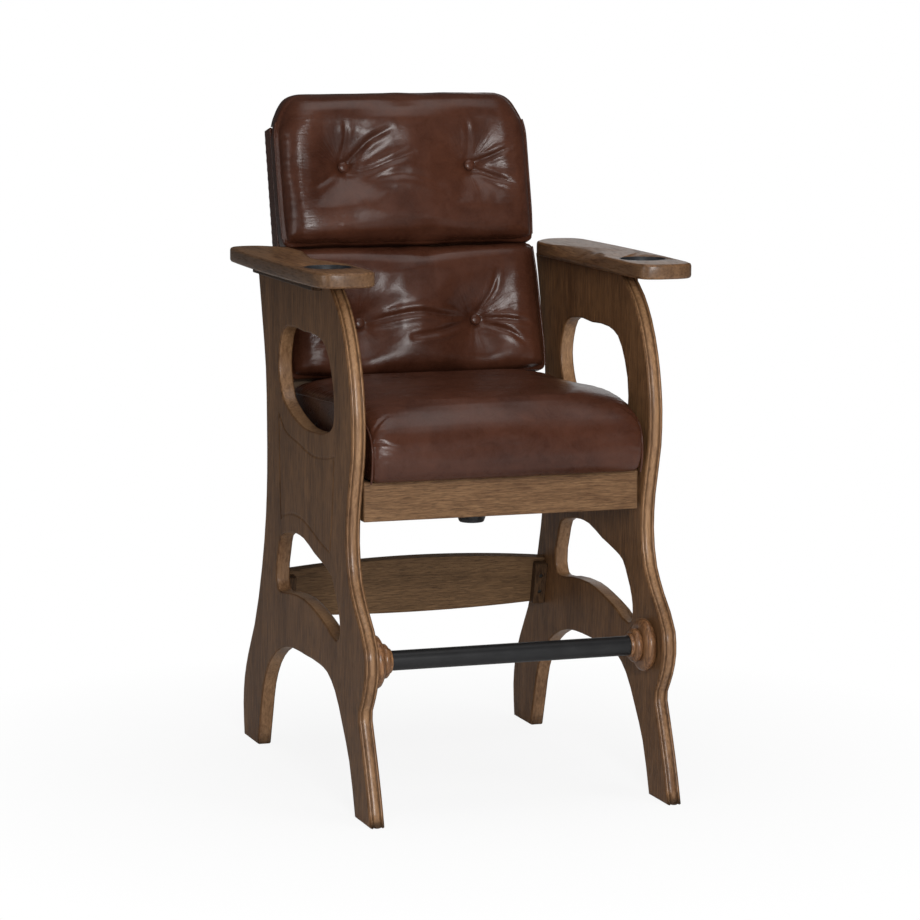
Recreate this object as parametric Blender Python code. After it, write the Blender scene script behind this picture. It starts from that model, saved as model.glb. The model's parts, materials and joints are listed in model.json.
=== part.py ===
"""Spectator bar stool: a tall armchair with a reclined leather back, built on two shaped side panels.

Units are metres and Z is up. The front faces -Y, and the left side is at negative X. The origin lies on the floor
under the middle of the stool.
"""

import math

import bmesh
import bpy
from mathutils import Matrix, Vector

# Fits that every piece shares
GAP = 0.0003  # between faces that touch
HOLE_CLEARANCE = 0.0004  # around a screw or a bolt
CUT_OVERRUN = 0.004  # of a cutter past the face that it opens

# Side panels
PANEL_SPAN = 0.610  # over the outer faces
PANEL_THICKNESS = 0.0286
PANEL_HEIGHT = 0.9727
PANEL_ARRIS = 0.004
STANCE = 0.8368  # from the front toe to the rear toe on the floor
STANCE_FORWARD = 0.0033  # of the middle of the feet, ahead of the origin

# Arms
ARM_LENGTH = 0.630
ARM_THICKNESS = 0.0280
ARM_OVERHANG_INSIDE = 0.0229
ARM_OVERHANG_OUTSIDE = 0.0660
ARM_FORWARD = 0.0063
ARM_ARRIS = 0.0050
ARM_CLEAT_LENGTH = 0.396
ARM_CLEAT_THICKNESS = 0.0197
ARM_CLEAT_HEIGHT = 0.0207
ARM_CLEAT_BACKWARD = 0.0697

# Cue rest, a scoop in the inner edge of each arm
SCOOP_LENGTH = 0.313
SCOOP_DEPTH = 0.0165
SCOOP_REACH = 0.031
SCOOP_BACKWARD = 0.0162
SCOOP_OVERRUN_SHARE = 1.1  # of its arc, so that the cutter clears the arm's top

# Cup recess and its liner
CUP_DIAMETER = 0.0900
CUP_DEPTH = 0.0195
CUP_WALL = 0.0022
CUP_FLOOR = 0.0030
CUP_CLEARANCE = 0.0005
CUP_OUTBOARD = 0.0058  # of its axis, past the panel's outer face
CUP_SETBACK = 0.1360  # behind the arm's front end

# Seat frame
RAIL_TOP = 0.6120
FRONT_RAIL_HEIGHT = 0.0740
FRONT_RAIL_THICKNESS = 0.0220
FRONT_RAIL_SHORT = 0.0066  # of each panel
FRONT_RAIL_FORWARD = 0.2730  # of its front face
DECK_THICKNESS = 0.0120
SIDE_RAIL_THICKNESS = 0.0220
SIDE_RAIL_HEIGHT = 0.0550
SIDE_RAIL_END = 0.2438  # of its rear end, behind the origin
REAR_RAIL_THICKNESS = 0.0220
BRACE_WIDTH = 0.0640
BRACE_FORWARD = 0.1003
CORNER_BLOCK_LEG = 0.0600
CORNER_BLOCK_HEIGHT = 0.0400
EDGE_BREAK = 0.0015
CAP_TOP_RADIUS = 0.0300
CAP_MIDDLE_RADIUS = 0.0280
CAP_BOTTOM_RADIUS = 0.0240
CAP_HEIGHT = 0.0435
CAP_TAPER_HEIGHT = 0.0135

# Back: its own frame of reference leans, with Z up the recline and -Y out towards the sitter
RECLINE = math.radians(13.5)
BACK_FOOT_DROP = 0.0670  # below the top of the front rail
BACK_FOOT_BACKWARD = 0.2531
BACK_HEIGHT = 0.691  # of the wood frame, along the recline
BACK_PANEL_THICKNESS = 0.0080
BACK_FRAME_THICKNESS = 0.0367
STILE_WIDTH = 0.0450
BACK_RAIL_HEIGHT = 0.0450
BAND_THICKNESS = 0.0062
BAND_FOOT = 0.0750
PIPING_PLANE = 0.0820  # from the back's rear face
PAD_CROWN = 0.0460
PAD_SHOULDER = 0.0600
PAD_EDGE_RADIUS = 0.0080
PAD_END_ROLL = 0.0350
PAD_DRAW = 0.0030  # how far a pad's sides are drawn in towards the frame
PAD_CORNER = 0.0180
LOWER_PAD_BOTTOM = 0.1850
LOWER_PAD_TOP = 0.4440
UPPER_PAD_TOP_EDGE = 0.7090
UPPER_PAD_HALF_WIDTH = 0.2630
UPPER_PAD_ROLL_RISE = 0.0480
UPPER_PAD_TAIL_SHARE = 0.75
UPPER_PAD_FULLNESS_SHARE = 0.20  # power of the crown that its top corners follow
LOWER_PAD_HALF_WIDTH = 0.2614
LOWER_PAD_SPREAD = 0.0091  # extra half width at its foot

# Tuft buttons
BUTTON_RADIUS = 0.0110
BUTTON_HEIGHT = 0.0062
BUTTON_RIM_SHARE = 0.25  # of its height
TUFT_PLANE = 0.0997  # of a button's seat, from the back's rear face
TUFT_FLAT = 0.0190
TUFT_SPREAD = 0.0450
UPPER_BUTTON_HALF_SPACING = 0.1315
UPPER_BUTTON_RISE = 0.5997
LOWER_BUTTON_HALF_SPACING = 0.1205
LOWER_BUTTON_RISE = 0.2900

# Seat cushion
SEAT_HALF_WIDTH = 0.2647
SEAT_DEPTH = 0.5436
SEAT_HEIGHT = 0.1432
SEAT_SHOULDER = 0.0420
SEAT_DRAW = 0.0040
SEAT_REAR = 0.2223  # of its rear end, behind the origin
SEAT_FRONT_HEIGHT_SHARE = 0.300

# Footrail
FOOTRAIL_RADIUS = 0.0185
FOOTRAIL_WALL = 0.0018
FOOTRAIL_HEIGHT = 0.2870
FOOTRAIL_FORWARD = 0.3193
ROSETTE_LENGTH = 0.0413
ROSETTE_SOCKET = 0.0150
BASE_BEAD_RADIUS = 0.0500
BASE_BEAD_RISE = 0.0105
BASE_BEAD_LENGTH = 0.0212
TOP_BEAD_RADIUS = 0.0325
TOP_BEAD_RISE = 0.0085
TOP_BEAD_LENGTH = 0.0146
COLLAR_RADIUS = 0.0232

# Rear stretcher
STRETCHER_LEAN = math.radians(12.4)
STRETCHER_FOOT_HEIGHT = 0.2615
STRETCHER_BACKWARD = 0.2587  # of its front face at the foot of its middle
STRETCHER_THICKNESS = 0.0200
STRETCHER_HEIGHT = 0.1167
STRETCHER_TOP_RISE = 0.0150
STRETCHER_BOTTOM_RISE = -0.0097
CLEAT_WIDTH = 0.0250
CLEAT_THICKNESS = 0.0200
CLEAT_HEIGHT = 0.0860
CLEAT_RISE = 0.0110

# Screws: head radius, head height, shank radius, length under the head, depth of the head below the surface
CLEAT_SCREW = (0.0040, 0.0028, 0.0021, 0.0280, 0.0030)
CLEAT_SCREW_HALF_SPACING = 0.0170
ARM_SCREW = (0.0042, 0.0030, 0.0022, 0.0300, 0.0030)
ARM_SCREW_HALF_SPACING = 0.1300
ROSETTE_SCREW = (0.0060, 0.0035, 0.0028, 0.0380, 0)
RAIL_BOLT = (0.0070, 0.0040, 0.0030, 0.0380, 0)
RAIL_BOLT_HALF_SPACING = 0.1325
RAIL_BOLT_FORWARD = 0.0192
BACK_BOLT = (0.0080, 0.0045, 0.0035, 0.0820, 0.0010)
BACK_BOLT_RISE = 0.0300
BACK_BOLT_DEPTH = 0.0330

# How finely curves are divided
SPAN_STEPS = 2
ARRIS_STEPS = 2
ROLL_STEPS = 4
ROUND_STEPS = 24
SCREW_STEPS = 10
BUTTON_STEPS = 16
TAIL_STEPS = 3

# Outlines. A side panel's points are shares of half the stance and of the panel's height
PANEL_REAR_SHARES = (
    (0.736, 1.000), (0.657, 0.878), (0.607, 0.787), (0.592, 0.679), (0.592, 0.576), (0.614, 0.491),
    (0.684, 0.378), (0.815, 0.250), (0.927, 0.180), (0.994, 0.123), (1.016, 0.067), (1.000, 0.000),
)
PANEL_ARCH_SHARES = (
    (0.764, 0.000), (0.712, 0.072), (0.664, 0.132), (0.571, 0.184), (0.452, 0.218), (0.289, 0.242),
    (0.172, 0.248), (-0.026, 0.250), (-0.249, 0.250), (-0.359, 0.244), (-0.478, 0.216), (-0.586, 0.162),
    (-0.688, 0.099), (-0.773, 0.000),
)
PANEL_SHIN_SHARES = ((-1.000, 0.000), (-0.963, 0.051), (-0.899, 0.123), (-0.832, 0.190))
PANEL_FRONT_SHARES = (
    (-0.834, 0.207), (-0.892, 0.245), (-0.927, 0.288), (-0.915, 0.331), (-0.777, 0.396), (-0.691, 0.442),
    (-0.648, 0.514), (-0.662, 0.581), (-0.724, 0.679), (-0.731, 0.750), (-0.717, 0.792), (-0.676, 0.853),
    (-0.598, 0.917), (-0.507, 0.961), (-0.370, 1.000),
)
UPPER_OPENING_SHARES = (
    (0.239, 0.887), (0.000, 0.887), (-0.229, 0.887), (-0.337, 0.874), (-0.423, 0.831), (-0.471, 0.763),
    (-0.452, 0.728), (-0.370, 0.711), (-0.191, 0.701), (-0.019, 0.700), (0.120, 0.710), (0.239, 0.725),
    (0.323, 0.742), (0.370, 0.773), (0.390, 0.807), (0.373, 0.840), (0.320, 0.875),
)
LOWER_OPENING_SHARES = (
    (0.437, 0.372), (0.411, 0.352), (0.363, 0.349), (0.239, 0.356), (0.000, 0.361), (-0.167, 0.352),
    (-0.359, 0.334), (-0.495, 0.318), (-0.535, 0.324), (-0.552, 0.343), (-0.538, 0.372), (-0.485, 0.407),
    (-0.425, 0.436), (-0.335, 0.448), (-0.167, 0.462), (0.000, 0.480), (0.120, 0.482), (0.263, 0.474),
    (0.368, 0.460), (0.406, 0.427),
)
# An arm's points are shares of its width, from the inner edge, and of its length, from the front
ARM_FRONT_SHARES = (
    (0.000, 0.120), (0.004, 0.078), (0.022, 0.046), (0.068, 0.022), (0.160, 0.008), (0.485, 0.000),
    (0.790, 0.008), (0.885, 0.022), (0.945, 0.046), (0.978, 0.082),
)
ARM_REAR_SHARES = (
    (1.022, 0.260), (1.042, 0.400), (1.048, 0.530), (1.040, 0.690), (1.018, 0.820), (1.000, 0.900),
    (0.980, 0.943), (0.919, 0.974), (0.826, 0.989), (0.617, 1.000), (0.413, 0.993), (0.258, 0.968),
    (0.095, 0.927), (0.045, 0.907), (0.012, 0.886), (0.000, 0.856),
)
# The seat's side profile and its crowned middle, as shares of its depth, from the front, and of its height
SEAT_EDGE_SHARES = (
    (0.041, 0.000), (0.029, 0.131), (0.025, 0.298), (0.028, 0.452), (0.050, 0.600), (0.095, 0.710),
    (0.172, 0.800), (0.300, 0.886), (0.552, 0.836), (0.769, 0.808), (0.953, 0.766), (1.000, 0.689),
)
SEAT_MIDDLE_SHARES = (
    (0.041, 0.000), (0.013, 0.110), (0.000, 0.298), (0.004, 0.543), (0.036, 0.766), (0.104, 0.913),
    (0.206, 0.976), (0.337, 1.000), (0.552, 0.990), (0.769, 0.965), (0.953, 0.920), (1.000, 0.808),
)
# Stations across a cushion, as shares of the half width inside its shoulders
SEAT_STATION_SHARES = (0.0, 0.35, 0.7, 1.0)
DOME_SHARE = 0.10  # of the crown that builds up between the shoulders and the middle

# Where the sizes put the pieces
OUTER_X = PANEL_SPAN / 2
INNER_X = OUTER_X - PANEL_THICKNESS
ARM_BOTTOM = PANEL_HEIGHT + GAP
ARM_TOP = ARM_BOTTOM + ARM_THICKNESS
CUP_FORWARD = ARM_FORWARD + ARM_LENGTH / 2 - CUP_SETBACK
BACK_FOOT_HEIGHT = RAIL_TOP - BACK_FOOT_DROP
DECK_BOTTOM = RAIL_TOP - DECK_THICKNESS
SIDE_RAIL_TOP = DECK_BOTTOM - GAP
SIDE_RAIL_BOTTOM = SIDE_RAIL_TOP - SIDE_RAIL_HEIGHT
SIDE_RAIL_INNER = INNER_X - GAP - SIDE_RAIL_THICKNESS
RAIL_REAR_FACE = -FRONT_RAIL_FORWARD + FRONT_RAIL_THICKNESS
STILE_OUTER = SIDE_RAIL_INNER - GAP
STILE_INNER = STILE_OUTER - STILE_WIDTH
FRAME_REAR = BACK_PANEL_THICKNESS + GAP
FRAME_FRONT = FRAME_REAR + BACK_FRAME_THICKNESS
PAD_REAR = FRAME_FRONT + GAP
UPPER_PAD_BOTTOM = LOWER_PAD_TOP + GAP + GAP

# Finishes: colour, roughness and metallic value
WALNUT = ((0.150, 0.092, 0.055, 1.0), 0.42, 0.0)
RAIL_WALNUT = ((0.190, 0.120, 0.070, 1.0), 0.45, 0.0)
HIDDEN_WOOD = ((0.420, 0.300, 0.180, 1.0), 0.65, 0.0)
LEATHER = ((0.058, 0.018, 0.012, 1.0), 0.30, 0.0)
BLACK_METAL = ((0.018, 0.018, 0.018, 1.0), 0.42, 0.85)
BLACK_PLASTIC = ((0.015, 0.016, 0.018, 1.0), 0.38, 0.0)
DARK_STEEL = ((0.060, 0.058, 0.055, 1.0), 0.45, 1.0)


def clear_scene():
    for old in list(bpy.data.objects):
        bpy.data.objects.remove(old, do_unlink=True)


def add_object(name, mesh_builder, finish=None, location=(0, 0, 0), rotation=(0, 0, 0), parent=None):
    """Turns a bmesh into a named object that is shaded smooth up to its sharp edges."""
    bmesh.ops.recalc_face_normals(mesh_builder, faces=mesh_builder.faces)
    mesh = bpy.data.meshes.new(name)
    mesh_builder.to_mesh(mesh)
    mesh_builder.free()
    mesh.shade_smooth()
    mesh.set_sharp_from_angle(angle=math.radians(38))
    made = bpy.data.objects.new(name, mesh)
    bpy.context.scene.collection.objects.link(made)
    made.location = location
    made.rotation_euler = rotation
    made.parent = parent
    if finish:
        colour, roughness, metallic = finish
        material = bpy.data.materials.new(name)
        material.use_nodes = True
        surface = material.node_tree.nodes["Principled BSDF"]
        surface.inputs["Base Color"].default_value = colour
        surface.inputs["Roughness"].default_value = roughness
        surface.inputs["Metallic"].default_value = metallic
        mesh.materials.append(material)
    return made


def leaning_frame(name, backward, height, lean):
    """An empty whose Z axis leans back; its children are modelled upright in front of it."""
    frame = bpy.data.objects.new(name, None)
    bpy.context.scene.collection.objects.link(frame)
    frame.location = (0, backward, height)
    frame.rotation_euler = (-lean, 0, 0)
    return frame


def smooth(points, closed=False):
    """A smooth curve through the points, with SPAN_STEPS points on each span."""
    count = len(points)
    spans = count if closed else count - 1
    chords = [(points[(i + 1) % count] - points[i]).length for i in range(spans)]

    def slope(i):
        if closed or 0 < i < count - 1:
            before, after = chords[i - 1], chords[i % spans]
            arriving = (points[i] - points[i - 1]) / before
            leaving = (points[(i + 1) % count] - points[i]) / after
            return (arriving * after + leaving * before) / (before + after)
        return (points[1] - points[0]) / chords[0] if i == 0 else (points[-1] - points[-2]) / chords[-1]

    curve = []
    for i in range(spans):
        start, end = points[i], points[(i + 1) % count]
        leave, arrive = slope(i) * chords[i], slope((i + 1) % count) * chords[i]
        for step in range(SPAN_STEPS):
            t = step / SPAN_STEPS
            curve.append(
                start * (2 * t**3 - 3 * t**2 + 1)
                + leave * (t**3 - 2 * t**2 + t)
                + end * (3 * t**2 - 2 * t**3)
                + arrive * (t**3 - t**2)
            )
    return curve if closed else curve + [points[-1]]


def scaled(shares, across, along):
    """The points of a table of shares at their real size."""
    return [Vector((a * across, b * along)) for a, b in shares]


def turned_way(loop, counter_clockwise):
    area = sum(a.x * b.y - b.x * a.y for a, b in zip(loop, loop[1:] + loop[:1]))
    return loop if (area > 0) == counter_clockwise else loop[::-1]


def inset(loop, amount):
    """Moves a loop's points to their left by amount, with mitred corners."""
    moved = []
    for i, point in enumerate(loop):
        arriving = (point - loop[i - 1]).normalized()
        leaving = (loop[(i + 1) % len(loop)] - point).normalized()
        left = Vector((-arriving.y - leaving.y, arriving.x + leaving.x)).normalized()
        mitre = max(left.dot(Vector((-leaving.y, leaving.x))), math.cos(math.radians(60)))
        moved.append(point + left * amount / mitre)
    return moved


def plate(name, loops, thickness, arris, directions, finish, **place):
    """A board of even thickness with rounded arrises: the first loop is its outline, the others are openings.

    directions are the unit vectors of the outline's two axes and of the thickness.
    """
    across, along, through = (Vector(d) for d in directions)
    loops = [turned_way(loop, i == 0) for i, loop in enumerate(loops)]
    turns = [math.radians(90) * k / ARRIS_STEPS for k in range(ARRIS_STEPS + 1)]
    layers = [(arris * (1 - math.sin(t)), arris * (1 - math.cos(t))) for t in reversed(turns)]
    layers += [(thickness - depth, shrink) for depth, shrink in reversed(layers)]
    bm = bmesh.new()
    faces = [[], []]
    for loop in loops:
        rings = []
        for depth, shrink in layers:
            points = inset(loop, shrink)
            rings.append([bm.verts.new(across * p.x + along * p.y + through * depth) for p in points])
        for low, high in zip(rings, rings[1:]):
            for i in range(len(loop)):
                bm.faces.new((low[i - 1], low[i], high[i], high[i - 1]))
        for edges, ring in zip(faces, (rings[0], rings[-1])):
            edges += [bm.edges.get((ring[i - 1], ring[i])) for i in range(len(ring))]
    for edges in faces:
        bmesh.ops.triangle_fill(bm, use_beauty=True, edges=edges)
    return add_object(name, bm, finish, **place)


def block(name, low, high, finish, edge=EDGE_BREAK, **place):
    """A rectangular piece between two corners, with its long edges broken."""
    low, high = Vector(low), Vector(high)
    bm = bmesh.new()
    bmesh.ops.create_cube(bm, size=1, matrix=Matrix.Diagonal((*(high - low), 1)))
    if edge:
        bmesh.ops.bevel(bm, geom=bm.edges[:], offset=edge, segments=1, affect="EDGES")
    return add_object(name, bm, finish, location=(low + high) / 2, **place)


def turned(name, profile, steps, finish, axis=(0, 0, 1), **place):
    """Revolves a profile of (radius, height) points about an axis; its ends lie on the axis or it is a ring."""
    bm = bmesh.new()
    on_axis = profile[0][0] == 0
    points = profile if on_axis else profile + profile[:1]
    made = [bm.verts.new((radius, 0, height)) for radius, height in points]
    edges = [bm.edges.new(pair) for pair in zip(made, made[1:])]
    bmesh.ops.spin(
        bm,
        geom=made + edges,
        cent=(0, 0, 0),
        axis=(0, 0, 1),
        angle=math.radians(360),
        steps=steps,
        use_merge=True,
    )
    bmesh.ops.remove_doubles(bm, verts=bm.verts, dist=GAP / 10)
    bmesh.ops.transform(bm, matrix=Vector(axis).to_track_quat("Z", "Y").to_matrix().to_4x4(), verts=bm.verts)
    return add_object(name, bm, finish, **place)


def cut(piece, cutter):
    """Takes the cutter's shape out of the piece."""
    cutter.hide_render = True
    cutter.display_type = "WIRE"
    boolean = piece.modifiers.new(cutter.name, "BOOLEAN")
    boolean.operation = "DIFFERENCE"
    boolean.solver = "EXACT"
    boolean.object = cutter


def screw(name, surface, direction, size, pieces, finish=DARK_STEEL, parent=None):
    """A headed screw driven from a surface point along direction, with its hole in the pieces it holds."""
    head_radius, head_height, shank_radius, length, sunk = size
    start = Vector(surface) + Vector(direction) * (sunk - (0 if sunk else head_height + GAP))
    profile = [
        (0, 0),
        (head_radius, 0),
        (head_radius, head_height),
        (shank_radius, head_height),
        (shank_radius, head_height + length - shank_radius),
        (0, head_height + length),
    ]
    made = turned(name, profile, SCREW_STEPS, finish, axis=direction, location=start, parent=parent)
    wide = head_radius + HOLE_CLEARANCE
    narrow = shank_radius + HOLE_CLEARANCE
    if sunk:
        hole = [(0, -sunk - CUT_OVERRUN), (wide, -sunk - CUT_OVERRUN), (wide, head_height + GAP)]
        hole += [(narrow, head_height + GAP)]
    else:
        hole = [(0, -CUT_OVERRUN), (narrow, -CUT_OVERRUN)]
    end = head_height + length + HOLE_CLEARANCE
    hole += [(narrow, end), (0, end)]
    cutter = turned(name + "_hole", hole, SCREW_STEPS, None, axis=direction, location=start, parent=parent)
    for piece in pieces:
        cut(piece, cutter)
    return made


def side_panel(side, name):
    half, height = STANCE / 2, PANEL_HEIGHT
    outline = []
    for shares in (PANEL_REAR_SHARES, PANEL_ARCH_SHARES, PANEL_SHIN_SHARES, PANEL_FRONT_SHARES):
        outline += smooth(scaled(shares, half, height))
    openings = [smooth(scaled(s, half, height), closed=True) for s in (UPPER_OPENING_SHARES, LOWER_OPENING_SHARES)]
    return plate(
        name,
        [outline] + openings,
        PANEL_THICKNESS,
        PANEL_ARRIS,
        ((0, 1, 0), (0, 0, 1), (side, 0, 0)),
        WALNUT,
        location=(side * INNER_X, -STANCE_FORWARD, 0),
    )


def arm(side, name):
    """An arm board with the cue rest scooped out of its inner edge and the recess for a cup liner."""
    width = ARM_OVERHANG_INSIDE + PANEL_THICKNESS + ARM_OVERHANG_OUTSIDE
    outline = smooth(scaled(ARM_FRONT_SHARES, width, ARM_LENGTH)) + smooth(scaled(ARM_REAR_SHARES, width, ARM_LENGTH))
    inner_edge = INNER_X - ARM_OVERHANG_INSIDE
    front = -ARM_FORWARD - ARM_LENGTH / 2
    made = plate(
        name,
        [outline],
        ARM_THICKNESS,
        ARM_ARRIS,
        ((side, 0, 0), (0, 1, 0), (0, 0, 1)),
        WALNUT,
        location=(side * inner_edge, front, ARM_BOTTOM),
    )
    cut(made, scoop_cutter(side, name + "_scoop", inner_edge))
    recess = turned(
        name + "_recess",
        [
            (0, -CUP_DEPTH - GAP),
            (CUP_DIAMETER / 2 + CUP_CLEARANCE, -CUP_DEPTH - GAP),
            (CUP_DIAMETER / 2 + CUP_CLEARANCE, CUT_OVERRUN),
            (0, CUT_OVERRUN),
        ],
        ROUND_STEPS,
        None,
        location=(side * (OUTER_X + CUP_OUTBOARD), -CUP_FORWARD, ARM_TOP),
    )
    cut(made, recess)
    return made


def scoop_cutter(side, name, inner_edge):
    """A bar with a round belly that slopes up and out, so that its cut runs out on top of the arm."""
    radius = SCOOP_LENGTH**2 / (8 * SCOOP_DEPTH) + SCOOP_DEPTH / 2
    half_angle = math.asin(SCOOP_LENGTH / 2 / radius)
    steps = 3 * ROLL_STEPS
    belly = []
    for step in range(-steps, steps + 1):
        turn = half_angle * SCOOP_OVERRUN_SHARE * step / steps
        belly.append((radius * math.sin(turn), radius * (1 - math.cos(turn)) - SCOOP_DEPTH))
    top = belly[-1][1] + SCOOP_DEPTH
    outline = belly + [(belly[-1][0], top), (belly[0][0], top)]
    slope = SCOOP_DEPTH / SCOOP_REACH
    bm = bmesh.new()
    ends = []
    for across in (-CUT_OVERRUN, SCOOP_REACH + CUT_OVERRUN):
        ends.append([bm.verts.new((side * across, y, z + across * slope)) for y, z in outline])
    for i in range(len(outline)):
        bm.faces.new((ends[0][i - 1], ends[0][i], ends[1][i], ends[1][i - 1]))
    for end in ends:
        bm.faces.new(end)
    return add_object(name, bm, location=(side * inner_edge, SCOOP_BACKWARD, ARM_TOP))


def arm_cleat(side, name):
    inner = side * (OUTER_X + GAP)
    outer = side * (OUTER_X + GAP + ARM_CLEAT_THICKNESS)
    return block(
        name,
        (min(inner, outer), ARM_CLEAT_BACKWARD - ARM_CLEAT_LENGTH / 2, PANEL_HEIGHT - ARM_CLEAT_HEIGHT),
        (max(inner, outer), ARM_CLEAT_BACKWARD + ARM_CLEAT_LENGTH / 2, PANEL_HEIGHT),
        WALNUT,
    )


def cup_insert(side, name):
    """The liner's origin is on its axis at the top of the arm: it lifts straight up."""
    radius = CUP_DIAMETER / 2
    inside = radius - CUP_WALL
    profile = [
        (0, -CUP_DEPTH),
        (radius - CUP_WALL, -CUP_DEPTH),
        (radius, -CUP_DEPTH + CUP_WALL),
        (radius, 0),
        (inside, 0),
        (inside, -CUP_DEPTH + CUP_FLOOR + CUP_WALL),
        (inside - CUP_WALL, -CUP_DEPTH + CUP_FLOOR),
        (0, -CUP_DEPTH + CUP_FLOOR),
    ]
    return turned(
        name,
        profile,
        ROUND_STEPS,
        BLACK_PLASTIC,
        location=(side * (OUTER_X + CUP_OUTBOARD), -CUP_FORWARD, ARM_TOP),
    )


def front_rail():
    reach = INNER_X - FRONT_RAIL_SHORT
    return block(
        "front_rail",
        (-reach, -FRONT_RAIL_FORWARD, RAIL_TOP - FRONT_RAIL_HEIGHT),
        (reach, RAIL_REAR_FACE, RAIL_TOP),
        RAIL_WALNUT,
    )


def side_rail(side, name):
    inner, outer = side * SIDE_RAIL_INNER, side * (INNER_X - GAP)
    return block(
        name,
        (min(inner, outer), RAIL_REAR_FACE + GAP, SIDE_RAIL_BOTTOM),
        (max(inner, outer), SIDE_RAIL_END, SIDE_RAIL_TOP),
        HIDDEN_WOOD,
    )


def back_front_face(height):
    """How far behind the origin the back frame's front face is at a height."""
    foot = BACK_FOOT_BACKWARD - FRAME_FRONT / math.cos(RECLINE)
    return foot + (height - BACK_FOOT_HEIGHT) * math.tan(RECLINE)


def rear_rail():
    rear = back_front_face(SIDE_RAIL_BOTTOM) - GAP
    reach = SIDE_RAIL_INNER - GAP
    return block(
        "rear_seat_rail",
        (-reach, rear - REAR_RAIL_THICKNESS, SIDE_RAIL_BOTTOM),
        (reach, rear, SIDE_RAIL_TOP),
        HIDDEN_WOOD,
    )


def seat_deck():
    reach = INNER_X - GAP
    return block(
        "seat_deck",
        (-reach, RAIL_REAR_FACE + GAP, DECK_BOTTOM),
        (reach, back_front_face(DECK_BOTTOM) - GAP, RAIL_TOP),
        HIDDEN_WOOD,
    )


def seat_brace():
    reach = SIDE_RAIL_INNER - GAP
    return block(
        "seat_brace",
        (-reach, -BRACE_FORWARD - BRACE_WIDTH / 2, SIDE_RAIL_BOTTOM),
        (reach, -BRACE_FORWARD + BRACE_WIDTH / 2, SIDE_RAIL_TOP),
        HIDDEN_WOOD,
    )


def under_seat_cap():
    """The tapered cap under the middle of the seat; its top is flat against the brace."""
    profile = [
        (0, 0),
        (CAP_TOP_RADIUS, 0),
        (CAP_MIDDLE_RADIUS, -CAP_HEIGHT + CAP_TAPER_HEIGHT),
        (CAP_BOTTOM_RADIUS, -CAP_HEIGHT + EDGE_BREAK),
        (CAP_BOTTOM_RADIUS - EDGE_BREAK, -CAP_HEIGHT),
        (0, -CAP_HEIGHT),
    ]
    return turned(
        "under_seat_cap",
        profile,
        ROUND_STEPS,
        BLACK_PLASTIC,
        location=(0, -BRACE_FORWARD, SIDE_RAIL_BOTTOM - GAP),
    )


def corner_block(side, toward, y_face, name):
    """A three-cornered block in an inside corner of the seat frame."""
    bm = bmesh.new()
    bottom = (SIDE_RAIL_TOP + SIDE_RAIL_BOTTOM - CORNER_BLOCK_HEIGHT) / 2
    corners = ((0, 0), (-side * CORNER_BLOCK_LEG, 0), (0, toward * CORNER_BLOCK_LEG))
    low = bm.faces.new([bm.verts.new((x, y, 0)) for x, y in corners])
    raised = bmesh.ops.extrude_face_region(bm, geom=[low])
    verts = [v for v in raised["geom"] if isinstance(v, bmesh.types.BMVert)]
    bmesh.ops.translate(bm, verts=verts, vec=(0, 0, CORNER_BLOCK_HEIGHT))
    place = (side * (SIDE_RAIL_INNER - GAP), y_face + toward * GAP, bottom)
    return add_object(name, bm, HIDDEN_WOOD, location=place)


def back_block(name, x_range, depth_range, rise_range, finish, back, edge=EDGE_BREAK):
    """A piece of the back, from its sizes across, out from the rear face and up the recline."""
    low = (x_range[0], -depth_range[1], rise_range[0])
    high = (x_range[1], -depth_range[0], rise_range[1])
    made = block(name, low, high, finish, edge=edge, parent=back)
    return made


def quarter(steps, start_degrees):
    """Cosine and sine pairs over a quarter turn."""
    turns = [math.radians(start_degrees + 90 * k / steps) for k in range(steps + 1)]
    return [(math.cos(t), math.sin(t)) for t in turns]


def corner_cut(distance, radius):
    """How far a rounded corner draws a side in, at a distance from the corner's end."""
    if distance >= radius:
        return 0
    return radius - math.sqrt(max(radius**2 - (radius - distance) ** 2, 0))


def pad_rows(low, high, button_rise):
    """Heights of a pad's plain rows between its rolled ends, with a pair of rows at the button's seat."""
    seat = TUFT_FLAT / math.sqrt(2)
    below = [low + (button_rise - seat - low) * k / 3 for k in range(3)]
    above = [high - (high - button_rise - seat) * k / 3 for k in range(3)]
    return below + [button_rise - seat, button_rise + seat] + above[::-1]


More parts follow.
